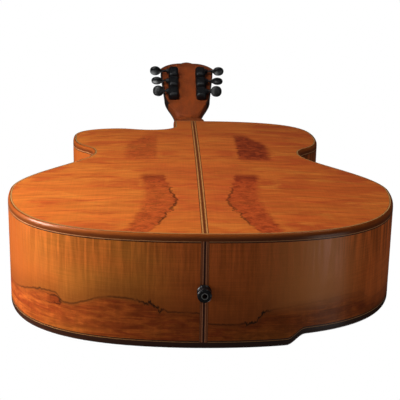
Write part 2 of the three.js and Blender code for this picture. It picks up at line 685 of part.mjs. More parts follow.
// Strings: equal gaps between centres, bottoms on one straight line from nut to saddle
const STRING_COUNT = STRING_DIAMETERS.length;
const spread = (span, i) => span * (i / (STRING_COUNT - 1) - 1 / 2);
const stringBottomAtNut = boardY(0) - STRING_ABOVE_NUT_BOARD;
const octaveZ = -fretDistance(OCTAVE_FRETS);
const stringBottomAtOctave = boardY(octaveZ) - FRET_HEIGHT - STRING_ABOVE_OCTAVE_FRET;
const stringSlope = (stringBottomAtOctave - stringBottomAtNut) / octaveZ;
const stringBottom = (z) => stringBottomAtNut + stringSlope * z;
const stringHoleZ = SADDLE_Z - STRING_HOLE_BEHIND_SADDLE;
const stringHoles = STRING_DIAMETERS.map((_, i) => round(
  'y', STRING_HOLE_RADIUS, bridgeFaceY - OVERRUN, bridgeFaceY + STRING_HOLE_DEPTH, 8,
  [spread(SADDLE_STRING_SPAN, i), 0, stringHoleZ],
));
addPart('bridge', cut(bridgeBody, saddleSlot, ...stringHoles), ebony);
const saddleHalf = SADDLE_THICKNESS / 2;
addPart('saddle', box(
  [-SADDLE_LENGTH / 2, stringBottom(SADDLE_Z) + GLUE_GAP, SADDLE_Z - saddleHalf],
  [SADDLE_LENGTH / 2, slotBottomY - GLUE_GAP, SADDLE_Z + saddleHalf],
), bone);
const braceHalfRise = (BRACE_WIDTH / 2) * Math.hypot(1, X_SLOPE_SHARE);
const plateToCross = crossHeight - SADDLE_HEIGHT - PLATE_ABOVE_SADDLE;
const plateOut = (plateToCross - braceHalfRise - PLATE_CLEARANCE) / X_SLOPE_SHARE;
addPart('bridge_plate', box(
  [-plateOut, TOP_THICKNESS + GLUE_GAP, SADDLE_Z - PLATE_BELOW_SADDLE],
  [plateOut, TOP_THICKNESS + GLUE_GAP + PLATE_THICKNESS, SADDLE_Z + PLATE_ABOVE_SADDLE],
), maple);

// End pin jack through the tail block
const jackProfile = [
  [JACK_HOLE_RADIUS, -JACK_RISE], [JACK_RADIUS, -JACK_RISE], [JACK_RADIUS, -JACK_RISE + JACK_FLANGE],
  [JACK_WAIST_RADIUS, -JACK_RISE / 2], [JACK_RADIUS, -JACK_FLANGE / 2], [JACK_RADIUS, -GLUE_GAP],
  [JACK_BARREL_RADIUS, -GLUE_GAP], [JACK_BARREL_RADIUS, JACK_REACH], [0, JACK_REACH],
  [0, JACK_SOCKET_DEPTH], [JACK_HOLE_RADIUS, JACK_SOCKET_DEPTH], [JACK_HOLE_RADIUS, -JACK_RISE],
];
const jack = new THREE.LatheGeometry(jackProfile.map(([r, z]) => new THREE.Vector2(r, z)), 20);
jack.rotateX(Math.PI / 2);
addPart('endpin_jack', jack, blackMetal).position.set(0, JACK_HEIGHT_Y, TAIL_Z);

// Fretboard: a wedge over the body, straight along the neck, with its frets standing on it
const boardHalf = (z) => (NUT_WIDTH + ((BOARD_END_WIDTH - NUT_WIDTH) * z) / BOARD_END_Z) / 2;
const boardUnder = (z) => (z < JOINT_Z ? -GLUE_GAP : neckY(z) - GLUE_GAP);
function boardSection(z, rise) {
  const out = boardHalf(z);
  const top = boardY(z) - rise;
  const under = boardUnder(z);
  return [[-out, top], [out, top], [out, under], [-out, under]].map(([x, y]) => new THREE.Vector3(x, y, z));
}
const boardSections = [boardSection(-GLUE_GAP, 0)];
for (let n = 1; n <= FRET_COUNT; n += 1) {
  const z = -fretDistance(n);
  const low = z - FRET_WIDTH / 2;
  const high = z + FRET_WIDTH / 2;
  boardSections.push(boardSection(high, 0), boardSection(high, FRET_HEIGHT));
  boardSections.push(boardSection(low, FRET_HEIGHT), boardSection(low, 0));
  if (n === BODY_FRET) boardSections.push(boardSection(low - FRET_WIDTH, 0));
}
boardSections.push(boardSection(BOARD_END_Z, 0));
addPart('fretboard', loft(boardSections), ebony);

// Neck: rounded shaft that grows into the heel
const HEEL_LEVEL_SHARES = [0, 0.09, 0.2, 0.35, 0.53, 0.73, 1];
const SHAFT_LEVEL_SHARES = [0.3, 0.65, 1];
// Exponents and rates that shape the heel's curve and the neck's rounded section
const HEEL_FALL = 2.6;
const HEEL_SIDE_FALL = 1.4;
const HEEL_NARROWING_RATE = 3;
const HEEL_SQUARING_RATE = 2;
const SHAFT_ROUNDNESS = 2.3;
const HEEL_SQUARENESS = 4;
const HEAD_ROOT_SHARE = 0.98;
function heelShare(z) {
  const up = z - JOINT_Z;
  const left = 1 - (up - HEEL_FLAT) / (HEEL_REACH - HEEL_FLAT);
  return up < HEEL_FLAT ? 1 : Math.max(0, left) ** HEEL_FALL;
}
const heelDepth = DEPTH_AT_NECK - HEEL_CAP_THICKNESS - GLUE_GAP;
function neckSection(z) {
  const heel = heelShare(z);
  const along = (z - JOINT_Z) / -JOINT_Z;
  const shaft = NECK_DEPTH_AT_HEEL + (NECK_DEPTH_AT_NUT - NECK_DEPTH_AT_HEEL) * along;
  const front = neckY(z);
  const depth = shaft + (heelDepth - front - shaft) * heel;
  const out = boardHalf(z);
  const narrowing = (1 - HEEL_WIDTH / 2 / out) * Math.min(1, heel * HEEL_NARROWING_RATE);
  const power = 2 / (SHAFT_ROUNDNESS + HEEL_SQUARENESS * Math.min(1, heel * HEEL_SQUARING_RATE));
  const ring = [];
  const points = 12;
  for (let k = 0; k <= points; k += 1) {
    const turn = (Math.PI * k) / points;
    const c = Math.cos(turn);
    const down = Math.sin(turn) ** power;
    const width = out * Math.sign(c) * Math.abs(c) ** power;
    ring.push(new THREE.Vector3(width * (1 - narrowing * down ** HEEL_SIDE_FALL), front + depth * down, z));
  }
  return ring;
}
const neckLevels = [
  GLUE_GAP,
  ...HEEL_LEVEL_SHARES.map((share) => HEEL_FLAT + (HEEL_REACH - HEEL_FLAT) * share),
  ...SHAFT_LEVEL_SHARES.map((share) => HEEL_REACH + (-JOINT_Z - HEEL_REACH) * share),
];
const rootRise = NUT_THICKNESS * 2;
const headRoot = neckSection(0).map((p) => new THREE.Vector3(
  p.x * HEAD_ROOT_SHARE, p.y + rootRise * Math.tan(HEAD_TILT / 2), p.z + rootRise,
));
const shaft = loft([...neckLevels.map((up) => neckSection(JOINT_Z + up)), headRoot]);

// Headstock outline in its own frame: Z from the nut becomes the shape's height
const headFaceY = boardY(0) + BOARD_THICKNESS - VENEER_THICKNESS;
const headStartZ = NUT_THICKNESS + GLUE_GAP;
const HEAD_ROOT_SHARES = [0.38, 0.6];
function headShape(start) {
  const neckHalf = NUT_WIDTH / 2;
  const [rootShare, flareShare] = HEAD_ROOT_SHARES;
  const base = HEAD_BASE_WIDTH / 2;
  const top = HEAD_TOP_WIDTH / 2;
  const corner = HEAD_LENGTH - HEAD_CORNER_DROP;
  const crown = HEAD_LENGTH - HEAD_BUMP_RISE;
  const bump = HEAD_BUMP_WIDTH / 2;
  const shape = new THREE.Shape();
  shape.moveTo(-neckHalf, start);
  shape.lineTo(neckHalf, start);
  const rootUp = start + HEAD_BASE_HEIGHT * rootShare;
  const flareUp = HEAD_BASE_HEIGHT * flareShare;
  shape.bezierCurveTo(neckHalf, rootUp, base, flareUp, base, HEAD_BASE_HEIGHT);
  shape.lineTo(top, corner);
  shape.quadraticCurveTo(top / 2 + bump, crown, bump, crown);
  shape.quadraticCurveTo(bump / 2, HEAD_LENGTH, 0, HEAD_LENGTH);
  shape.quadraticCurveTo(-bump / 2, HEAD_LENGTH, -bump, crown);
  shape.quadraticCurveTo(-top / 2 - bump, crown, -top, corner);
  shape.lineTo(-base, HEAD_BASE_HEIGHT);
  shape.bezierCurveTo(-base, flareUp, -neckHalf, rootUp, -neckHalf, start);
  return new THREE.ExtrudeGeometry(shape, { depth: 1, bevelEnabled: false, curveSegments: 7 });
}
function headSlab(start, front, thickness) {
  const slab = headShape(start);
  slab.rotateX(Math.PI / 2);
  slab.scale(1, thickness, 1);
  slab.translate(0, front + thickness, 0);
  return slab;
}

const head = new THREE.Group();
head.position.set(0, headFaceY, headStartZ);
head.rotation.x = -HEAD_TILT;
guitar.add(head);
head.updateMatrixWorld(true);
const intoHead = head.matrixWorld.clone();

// Six tuners, three each side, each with its own tilted place on the headstock
const SIDES_OF_HEAD = [-1, 1];
const tuners = [];
SIDES_OF_HEAD.forEach((side) => {
  for (let row = 0; row < STRING_COUNT / 2; row += 1) {
    const string = side < 0 ? row : STRING_COUNT - 1 - row;
    tuners.push({ string, side, x: side * POST_OUT, z: TUNER_FIRST_HEIGHT + row * TUNER_SPACING });
  }
});
tuners.sort((a, b) => a.string - b.string);
const headBackY = VENEER_THICKNESS + GLUE_GAP + HEAD_WOOD;
const bushingHole = (tuner) => round(
  'y', BUSHING_RADIUS + GLUE_GAP, -OVERRUN, headBackY + OVERRUN, 14, [tuner.x, 0, tuner.z],
);
const bushingHoles = tuners.map(bushingHole);
const rodChannelLow = JOINT_Z + ROD_INSET;
const rodSide = ROD_WIDTH / 2 + GLUE_GAP;
// A square bar under the fretboard between two heights, from top to under it behind the neck's front
function bar(from, to, halfWidth, top, under) {
  return loft([from, to].map((z) => [[-1, top], [1, top], [1, under], [-1, under]].map(
    ([side, y]) => new THREE.Vector3(side * halfWidth, neckY(z) + y, z),
  )));
}
const rodChannel = bar(rodChannelLow - GLUE_GAP, -ROD_INSET, rodSide, -OVERRUN, ROD_DEPTH + GLUE_GAP * 2);
const headWood = headSlab(0, VENEER_THICKNESS + GLUE_GAP, HEAD_WOOD);
const placedInHead = (geometry) => geometry.clone().applyMatrix4(intoHead);
const nutLedge = box([-NUT_WIDTH, headFaceY - BOARD_THICKNESS * 2, 0], [NUT_WIDTH, neckY(0), headStartZ]);
const veneerSpace = box(
  [-NUT_WIDTH * 2, -OVERRUN * 2, -OVERRUN],
  [NUT_WIDTH * 2, VENEER_THICKNESS + GLUE_GAP, HEAD_LENGTH],
);
const neck = cut(
  join(shaft, placedInHead(headWood)), rodChannel, ...bushingHoles.map(placedInHead), nutLedge,
  placedInHead(veneerSpace),
);
addPart('neck', neck, mahogany);
addPart('headstock_veneer', cut(headSlab(GLUE_GAP, 0, VENEER_THICKNESS), ...bushingHoles), ebony, head);
const rod = bar(rodChannelLow, -ROD_INSET - GLUE_GAP, ROD_WIDTH / 2, GLUE_GAP, ROD_DEPTH);
addPart('truss_rod', rod, steel);

// Cover over the rod's end, shaped like a small shield
const cover = new THREE.Shape();
cover.moveTo(-COVER_WIDTH / 2, COVER_START);
cover.lineTo(COVER_WIDTH / 2, COVER_START);
cover.quadraticCurveTo(COVER_WIDTH / 2, COVER_LENGTH / 2, 0, COVER_LENGTH + COVER_START);
cover.quadraticCurveTo(-COVER_WIDTH / 2, COVER_LENGTH / 2, -COVER_WIDTH / 2, COVER_START);
addPart('truss_rod_cover', plate(cover, -COVER_THICKNESS - GLUE_GAP, COVER_THICKNESS), ebony, head);

addPart('nut', box(
  [-NUT_WIDTH / 2, stringBottom(0) + GLUE_GAP, GLUE_GAP],
  [NUT_WIDTH / 2, neckY(0) - GLUE_GAP, NUT_THICKNESS],
), bone);

// Heel cap on the end of the heel
const cap = new THREE.Shape();
const capOut = HEEL_WIDTH / 2;
const capFootZ = JOINT_Z + GLUE_GAP;
const capTopZ = JOINT_Z + HEEL_FLAT;
cap.moveTo(-capOut, capFootZ);
cap.lineTo(capOut, capFootZ);
cap.bezierCurveTo(capOut, capTopZ, capOut / 2, capTopZ, 0, capTopZ);
cap.bezierCurveTo(-capOut / 2, capTopZ, -capOut, capTopZ, -capOut, capFootZ);
addPart('heel_cap', plate(cap, heelDepth + GLUE_GAP, HEEL_CAP_THICKNESS), bindingWood);

// Tuner pieces in a frame at the foot of the post: X towards the button, Y out of the headstock's back
const WHEEL_THICKNESS = 5;
const wheelRadius = WORM_OFFSET - WORM_RADIUS - RUNNING_GAP;
const wormHalf = HOUSING_WIDTH / 2 - HOUSING_WALL - RUNNING_GAP * 2;
const faceDrop = headBackY + GLUE_GAP;
const collarFoot = -faceDrop - GLUE_GAP;

function mirrored(geometry, side) {
  if (side > 0) return geometry;
  const plain = geometry.index ? geometry.clone() : mergeVertices(geometry.clone());
  plain.scale(-1, 1, 1);
  plain.setIndex(Array.from(plain.index.array).reverse());
  return plain;
}

function housingShape() {
  const out = HOUSING_WIDTH / 2;
  const up = HOUSING_LENGTH / 2;
  const corner = HOUSING_WALL;
  const shape = new THREE.Shape();
  const corners = [[1, -1], [1, 1], [-1, 1], [-1, -1]];
  corners.forEach(([x, z], i) => {
    const upright = [
      new THREE.Vector2(x * out, z * (up - corner)),
      new THREE.Vector2(x * (out - corner), z * up),
    ];
    const pair = i % 2 ? upright : upright.reverse();
    if (i === 0) shape.moveTo(pair[0].x, pair[0].y + HOUSING_ABOVE_POST);
    pair.forEach((p) => shape.lineTo(p.x, p.y + HOUSING_ABOVE_POST));
  });
  return shape;
}

function housing() {
  const bevel = HOUSING_WALL / 2;
  const cover = new THREE.ExtrudeGeometry(housingShape(), {
    depth: HOUSING_RISE - bevel * 2, bevelThickness: bevel, bevelSize: bevel, bevelOffset: -bevel,
    bevelSegments: 1,
  });
  cover.rotateX(Math.PI / 2);
  cover.translate(0, HOUSING_RISE - bevel, 0);
  const bushing = round('y', BUSHING_RADIUS, collarFoot - COLLAR_THICKNESS / 2, bevel, 14);
  const collar = round('y', COLLAR_RADIUS, collarFoot - COLLAR_THICKNESS, collarFoot, 12);
  const postBore = round('y', POST_RADIUS + RUNNING_GAP, collarFoot - COLLAR_THICKNESS * 2, SHAFT_RISE, 12);
  const wheelReach = WHEEL_THICKNESS / 2 + RUNNING_GAP;
  const wheelSpace = round(
    'y', wheelRadius + RUNNING_GAP, SHAFT_RISE - wheelReach, SHAFT_RISE + wheelReach, 16,
  );
  const shaftAt = [0, SHAFT_RISE, WORM_OFFSET];
  const wormReach = wormHalf + RUNNING_GAP;
  const wormSpace = round('x', WORM_RADIUS + RUNNING_GAP, -wormReach, wormReach, 12, shaftAt);
  const shaftBore = round('x', SHAFT_RADIUS + RUNNING_GAP, 0, HOUSING_WIDTH, 10, shaftAt);
  return cut(join(cover, bushing, collar), postBore, wheelSpace, wormSpace, shaftBore);
}

function buttonAndWorm(start) {
  const knob = new THREE.SphereGeometry(1, 12, 8);
  knob.rotateZ(Math.PI / 2);
  knob.scale(BUTTON_LENGTH / 2, BUTTON_THICKNESS / 2, BUTTON_WIDTH / 2);
  knob.translate(start + BUTTON_LENGTH / 2, 0, 0);
  const worm = round('x', WORM_RADIUS, -wormHalf, wormHalf, 10);
  const shaftBar = round('x', SHAFT_RADIUS, 0, start + BUTTON_LENGTH / 4, 8);
  return join(worm, shaftBar, knob);
}

function postAndWheel() {
  const top = SHAFT_RISE + WHEEL_THICKNESS / 2;
  const low = SHAFT_RISE - WHEEL_THICKNESS / 2;
  const end = -faceDrop - POST_RISE;
  const rounding = POST_RADIUS / 3;
  const profile = [
    [0, end], [POST_RADIUS - rounding, end], [POST_RADIUS, end + rounding], [POST_RADIUS, low],
    [wheelRadius, low], [wheelRadius, top], [0, top],
  ];
  return new THREE.LatheGeometry(profile.map(([r, y]) => new THREE.Vector2(r, y)), 12);
}

const edgeRise = HEAD_LENGTH - HEAD_CORNER_DROP - HEAD_BASE_HEIGHT;
const edgeSlope = (HEAD_TOP_WIDTH - HEAD_BASE_WIDTH) / 2 / edgeRise;
const headEdge = (z) => HEAD_BASE_WIDTH / 2 + edgeSlope * (z - HEAD_BASE_HEIGHT);
const tunerName = (string) => STRING_COUNT - string;
tuners.forEach(({ string, side, x, z }) => {
  const place = new THREE.Group();
  place.position.set(x, faceDrop, z);
  head.add(place);
  const number = tunerName(string);
  const start = headEdge(z + WORM_OFFSET) + BUTTON_EDGE_GAP - POST_OUT;
  addPart(`tuner_housing_${number}`, mirrored(housing(), side), blackMetal, place);
  addPart(`string_post_${number}`, postAndWheel(), steel, place);
  const button = addPart(`tuner_button_${number}`, mirrored(buttonAndWorm(start), side), blackMetal, place);
  button.position.set(0, SHAFT_RISE, WORM_OFFSET);
  button.rotation.x = BUTTON_TURNS[string];
});

// A route through given points, measured by their count so that tight turns keep their steps
class Route extends THREE.Curve {
  constructor(points) {
    super();
    this.points = points;
  }

  getPoint(share, target = new THREE.Vector3()) {
    const place = Math.min(Math.max(share, 0), 1) * (this.points.length - 1);
    const i = Math.min(Math.floor(place), this.points.length - 2);
    return target.lerpVectors(this.points[i], this.points[i + 1], place - i);
  }

  getPointAt(share, target) {
    return this.getPoint(share, target);
  }

  getTangentAt(share, target) {
    return this.getTangent(share, target);
  }
}

// Turns round a post: from the tangent point nearest the middle of the headstock, rising from the face
function winding(tuner, from, radius) {
  const reach = POST_RADIUS + radius + RUNNING_GAP;
  const centre = new THREE.Vector2(tuner.x, tuner.z);
  const back = new THREE.Vector2(from.x, from.z).sub(centre);
  const spreadAngle = Math.acos(reach / back.length());
  const start = back.angle() - tuner.side * spreadAngle;
  const steps = Math.round(WINDING_TURNS * WINDING_STEPS);
  const firstY = collarFoot + faceDrop - COLLAR_THICKNESS - radius - WINDING_CLEARANCE * 2;
  const pitch = radius * 2 + WINDING_CLEARANCE;
  return Array.from({ length: steps + 1 }, (_, i) => {
    const turns = i / WINDING_STEPS;
    const angle = start - tuner.side * Math.PI * 2 * turns;
    return new THREE.Vector3(
      centre.x + reach * Math.cos(angle), firstY - pitch * turns, centre.y + reach * Math.sin(angle),
    );
  });
}

function leastGap(points, radius) {
  let least = Infinity;
  const apart = WINDING_STEPS / 2;
  points.forEach((p, i) => points.slice(i + apart).forEach((q) => {
    least = Math.min(least, p.distanceTo(q) - radius * 2);
  }));
  return least;
}

const outOfHead = intoHead.clone().invert();
tuners.forEach((tuner) => {
  const radius = STRING_DIAMETERS[tuner.string] / 2;
  const atSaddle = spread(SADDLE_STRING_SPAN, tuner.string);
  const atNut = spread(NUT_STRING_SPAN, tuner.string);
  const lift = (z) => stringBottom(z) - radius;
  const overBridge = bridgeFaceY - STRING_HOLE_RADIUS;
  const leaveNut = new THREE.Vector3(atNut, lift(0), headStartZ);
  const turns = winding(tuner, leaveNut.clone().applyMatrix4(outOfHead), radius);
  console.log(`string_${tunerName(tuner.string)} least gap ${leastGap(turns, radius).toFixed(3)} mm`);
  const points = [
    new THREE.Vector3(atSaddle, bridgeFaceY + STRING_HOLE_DEPTH - STRING_HOLE_RADIUS, stringHoleZ),
    new THREE.Vector3(atSaddle, overBridge, stringHoleZ),
    new THREE.Vector3(atSaddle, lift(SADDLE_Z), SADDLE_Z - saddleHalf),
    new THREE.Vector3(atSaddle, lift(SADDLE_Z), SADDLE_Z + saddleHalf),
    new THREE.Vector3(atNut, lift(0), GLUE_GAP),
    leaveNut,
    ...turns.map((p) => p.applyMatrix4(intoHead)),
  ];
  const section = new THREE.Shape(Array.from({ length: WINDING_SIDES }, (_, i) => {
    const turn = (Math.PI * 2 * i) / WINDING_SIDES;
    return new THREE.Vector2(radius * Math.cos(turn), radius * Math.sin(turn));
  }));
  const steps = points.length - 1;
  const tube = new THREE.ExtrudeGeometry(section, { steps, extrudePath: new Route(points) });
  addPart(`string_${tunerName(tuner.string)}`, tube, tuner.string < STRING_COUNT - 2 ? bronze : steel);
});

export default guitar;
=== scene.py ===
"""Grand auditorium guitar with a cutaway, seen from its tail.

Sizes are written in millimetres and become metres in skin(). The nut stands at z = 0, the outer
face of the soundboard at y = 0, and x points to the treble side. h is a height above the tail.
"""
import math

import bpy
import numpy as np
from mathutils import Matrix, Vector
from mathutils.geometry import delaunay_2d_cdt


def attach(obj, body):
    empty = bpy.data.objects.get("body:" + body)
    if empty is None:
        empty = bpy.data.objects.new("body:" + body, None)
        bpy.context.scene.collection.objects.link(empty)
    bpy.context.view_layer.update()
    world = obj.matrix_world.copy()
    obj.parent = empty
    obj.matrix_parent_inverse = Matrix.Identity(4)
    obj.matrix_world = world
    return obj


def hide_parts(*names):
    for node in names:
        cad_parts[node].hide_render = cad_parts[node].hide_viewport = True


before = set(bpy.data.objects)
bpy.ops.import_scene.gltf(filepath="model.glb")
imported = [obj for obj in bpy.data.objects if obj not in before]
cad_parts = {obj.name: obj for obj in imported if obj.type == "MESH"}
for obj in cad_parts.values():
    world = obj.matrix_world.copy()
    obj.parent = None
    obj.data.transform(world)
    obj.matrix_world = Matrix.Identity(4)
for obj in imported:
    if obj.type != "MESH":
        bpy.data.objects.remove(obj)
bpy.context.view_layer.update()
scene = bpy.context.scene
scene.view_settings.view_transform = "Standard"

MM = 0.001
SCALE_LENGTH = 648.0


def fret_z(number):
    """A fret's height: fret n leaves 2^(-n/12) of the string, so twelve frets halve it."""
    return -SCALE_LENGTH * (1 - 2 ** (-number / 12))


JOINT_Z = fret_z(14)
BODY_LENGTH = 508.0
TAIL_Z = JOINT_Z - BODY_LENGTH
SADDLE_Z = -(SCALE_LENGTH + 2.5)
SADDLE_SPAN, NUT_SPAN = 55.0, 38.0
LOWER_BOUT, WAIST, UPPER_BOUT = 203.0, 123.5, 155.0
DEPTH_AT_TAIL, DEPTH_AT_NECK, BACK_RADIUS, BACK_APEX = 117.0, 101.0, 4572.0, 220.0
LOWER_H, WAIST_H, UPPER_H = BODY_LENGTH * 0.304, BODY_LENGTH * 0.5925, BODY_LENGTH * 0.797
HORN_H, SCOOP_H, SCOOP_END_H = BODY_LENGTH - 58, BODY_LENGTH - 70, BODY_LENGTH - 47
HORN_OUT, SCOOP_OUT, WALL_OUT, SHOULDER_FLAT = UPPER_BOUT * 0.67, UPPER_BOUT * 0.355, 27.0, 28.0
SIDE_THICKNESS, PLATE_THICKNESS = 2.2, 2.8
BINDING_WIDTH, BINDING_HEIGHT = 2.3, 6.5
FACE_LINES, SIDE_LINES, LINES_PROUD = 1.9, 1.7, 0.04
BEVEL_DEPTH, BEVEL_WIDTH = 10.5, 34.0
GRAFT, STRIP = 8.0, 7.0
JACK_Y = 60.0
SOUNDHOLE_Z, HOLE_RADIUS = JOINT_Z - 143.0, 51.0

# The camera stands where the photograph was taken from
LENS, SENSOR = 100.76, 36.0
CAMERA_PLACE = (0.0385, 0.4715, -1.8542)
CAMERA_RIGHT = Vector((-0.99947, 0.0168, -0.02785))
CAMERA_UP = Vector((0.00739, 0.95114, 0.30868))
lens = bpy.data.cameras.new("camera")
lens.lens, lens.sensor_width, lens.clip_end = LENS, SENSOR, 50.0
camera = bpy.data.objects.new("camera", lens)
scene.collection.objects.link(camera)
axes = Matrix((CAMERA_RIGHT, CAMERA_UP, CAMERA_RIGHT.cross(CAMERA_UP)))
camera.matrix_world = Matrix.Translation(CAMERA_PLACE) @ axes.transposed().to_4x4()
scene.camera = camera


# Shaders
def socket_of(sockets, key):
    """A node's socket by its number, or by its name among those in use."""
    if isinstance(key, int):
        return sockets[key]
    return next(socket for socket in sockets if socket.name == key and socket.enabled)


class Wire:
    """A number or a colour on its way through a material. Sums and products add Math nodes."""

    def __init__(self, tree, socket=None):
        self.tree, self.socket = tree, socket

    def add(self, kind, settings, sockets, output=0):
        """Adds a node: its settings first, then its sockets, by name or number; gives an output."""
        node = self.tree.nodes.new(kind)
        for key, value in settings.items():
            setattr(node, key, value)
        for key, value in sockets.items():
            socket = socket_of(node.inputs, key)
            if isinstance(value, Wire):
                self.tree.links.new(value.socket, socket)
            else:
                socket.default_value = value
        return None if output is None else Wire(self.tree, socket_of(node.outputs, output))

    def maths(self, operation, *values):
        return self.add("ShaderNodeMath", {"operation": operation}, dict(enumerate(values)))

    def __add__(self, other): return self.maths("ADD", self, other)
    def __sub__(self, other): return self.maths("SUBTRACT", self, other)
    def __rsub__(self, other): return self.maths("SUBTRACT", other, self)
    def __mul__(self, other): return self.maths("MULTIPLY", self, other)
    def __truediv__(self, other): return self.maths("DIVIDE", self, other)
    def __pow__(self, other): return self.maths("POWER", self, other)
    def __abs__(self): return self.maths("ABSOLUTE", self)
    def sin(self): return self.maths("SINE", self)
    def least(self, other): return self.maths("MINIMUM", self, other)
    def most(self, other): return self.maths("MAXIMUM", self, other)

    def ramp(self, low, high, start=0.0, end=1.0):
        """This value carried from low..high to start..end, smoothly, and held outside."""
        return self.add("ShaderNodeMapRange", {"interpolation_type": "SMOOTHSTEP"}, {
            "Value": self, "From Min": low, "From Max": high, "To Min": start, "To Max": end})

    def near(self, centre, width):
        """1 on a line at the centre, falling smoothly to 0 at the width to either side."""
        return abs(self - centre).ramp(0, width, 1, 0)

    def drawn(self, low, high, top, points):
        """A drawn curve: this value, between low and high, goes in, and 0 to top comes out."""
        curve = self.add("ShaderNodeFloatCurve", {}, {"Value": (self - low) / (high - low)})
        mapping = curve.socket.node.mapping
        handles = mapping.curves[0].points
        for place, (value, result) in enumerate(points):
            spot = ((value - low) / (high - low), result / top)
            if place < 2:
                handles[place].location = spot
            else:
                handles.new(*spot)
        mapping.update()
        return curve * top

    def parts(self):
        """The three parts of a vector."""
        node = self.add("ShaderNodeSeparateXYZ", {}, {"Vector": self}).socket.node
        return [Wire(self.tree, outlet) for outlet in node.outputs]

    def vector(self, x, y, z):
        return self.add("ShaderNodeCombineXYZ", {}, {"X": x, "Y": y, "Z": z})

    def cells(self, x, y, z=1.0):
        """A place counted in cells of these sizes, in millimetres."""
        return self.add("ShaderNodeVectorMath", {"operation": "MULTIPLY"}, {
            0: self, 1: (1 / (x * MM), 1 / (y * MM), 1 / (z * MM))}, "Vector")

    def noise(self, detail=2.0, rough=0.5, warp=0.0, scale=1.0):
        """Soft noise about 0.5 at this place."""
        return self.add("ShaderNodeTexNoise", {}, {
            "Vector": self, "Scale": scale, "Detail": detail, "Roughness": rough,
            "Distortion": warp})

    def mix(self, first, second):
        """A colour between two colours, this wire being the share of the second."""
        return self.add("ShaderNodeMix", {"data_type": "RGBA"}, {
            "Factor": self, "A": paint(first), "B": paint(second)}, "Result")

    def shade(self, colour):
        """The colour multiplied by this number."""
        return self.add("ShaderNodeMix", {"data_type": "RGBA", "blend_type": "MULTIPLY"}, {
            "Factor": 1.0, "A": paint(colour), "B": self.vector(self, self, self)}, "Result")


def paint(colour):
    """A colour for a socket: three numbers gain an alpha, a wire passes as it is."""
    return colour if isinstance(colour, Wire) else (*colour, 1.0)


def finish_of(name, look, sockets):
    """A material: look() gives wires for the shader's varying sockets, and sockets the constants.

    Height is a wire with a bump's strength and depth, and goes to the normal.
    """
    material = bpy.data.materials.new(name)
    material.use_nodes = True
    tree = material.node_tree
    tree.nodes.clear()
    start = Wire(tree)
    varying = look(start)
    height, strength, depth = varying.pop("Height")
    varying["Normal"] = start.add("ShaderNodeBump", {}, {
        "Strength": strength, "Distance": depth, "Height": height})
    shader = start.add("ShaderNodeBsdfPrincipled", {}, {**sockets, **varying})
    start.add("ShaderNodeOutputMaterial", {}, {"Surface": shader}, None)
    return material


def at(start, uv=None):
    """Object coordinates in metres, or a named UV map's."""
    if uv:
        return start.add("ShaderNodeUVMap", {"uv_map": uv}, {})
    return start.add("ShaderNodeTexCoord", {}, {}, "Object")


# Points and paths
def spots(*axes):
    """Points with one array or number for each axis, stretched to the same shape."""
    return np.stack(np.broadcast_arrays(*axes), -1)


def unit(vectors):
    """Vectors brought to length 1."""
    return vectors / np.linalg.norm(vectors, axis=-1, keepdims=True)


def way_along(path):
    """The way along a path to each of its points."""
    return np.concatenate([[0], np.cumsum(np.linalg.norm(np.diff(path, axis=0), axis=1))])


def full_turn(count):
    return np.linspace(0, math.tau, count, endpoint=False)


def squared(share, power):
    """A cosine or a sine drawn towards a square's, for a superellipse: sign(c) |c|^power."""
    return np.sign(share) * np.abs(share) ** power


def smooth(value, low, high):
    """0 below low, 1 above high, and 3t^2 - 2t^3 between."""
    t = np.clip((value - low) / (high - low), 0, 1)
    return t * t * (3 - 2 * t)


def bezier(*points, steps=300):
    """A Bezier curve of any degree n: the sum of C(n,k) (1-t)^(n-k) t^k p_k."""
    t, n = np.linspace(0, 1, steps)[:, None], len(points) - 1
    return sum(math.comb(n, k) * (1 - t) ** (n - k) * t ** k * np.asarray(p, float)
               for k, p in enumerate(points))


def even(path, step):
    """A path's points respaced at equal steps along its length, straight between its points."""
    s = way_along(path)
    places = np.linspace(0, s[-1], max(2, int(round(s[-1] / step)) + 1))
    return spots(*(np.interp(places, s, column) for column in path.T))


def both_halves(half, steps):
    """A closed outline: half of it, its mirror image, and a straight base between their feet."""
    base = np.linspace(half[0] * (-1, 1), half[0], steps)[1:-1]
    return np.concatenate([half, half[-2::-1] * (-1, 1), base])


def circle(x, y, radius, sides=28):
    turn = full_turn(sides)
    return spots(x + radius * np.cos(turn), y + radius * np.sin(turn))


# Meshes
def skin(name, points, faces, material, uv=None, angle=32, body="guitar", slot=None, instead=()):
    """A mesh piece from points in millimetres, smooth below an angle in degrees, riding a body."""
    mesh = bpy.data.meshes.new(name)
    mesh.from_pydata((np.asarray(points, float) * MM).tolist(), [], [list(f) for f in faces])
    if uv is not None:
        layer = mesh.uv_layers.new(name="way")
        corners = np.empty(len(mesh.loops), np.int32)
        mesh.loops.foreach_get("vertex_index", corners)
        layer.data.foreach_set("uv", np.asarray(uv, float)[corners].ravel())
    mesh.materials.append(material)
    mesh.shade_smooth()
    mesh.set_sharp_from_angle(angle=math.radians(angle))
    mesh.validate()
    piece = bpy.data.objects.new(name, mesh)
    scene.collection.objects.link(piece)
    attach(piece, body)
    if instead:
        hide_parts(*instead)
    return piece


def eased(piece, width):
    """Rounds a piece's sharp edges."""
    bevel = piece.modifiers.new("eased", "BEVEL")
    bevel.width, bevel.segments, bevel.limit_method = width * MM, 3, "ANGLE"
    bevel.angle_limit, bevel.harden_normals = math.radians(50), False


def outward(points, faces):
    """Turns all faces round if the volume in them, summed over fans of triangles, is negative."""
    total = 0.0
    for count in {len(f) for f in faces}:
        fan = np.array([f for f in faces if len(f) == count])
        for k in range(1, count - 1):
            a, b, c = points[fan[:, 0]], points[fan[:, k]], points[fan[:, k + 1]]
            total += np.einsum("ij,ij->", a, np.cross(b, c))
    return faces if total >= 0 else [f[::-1] for f in faces]


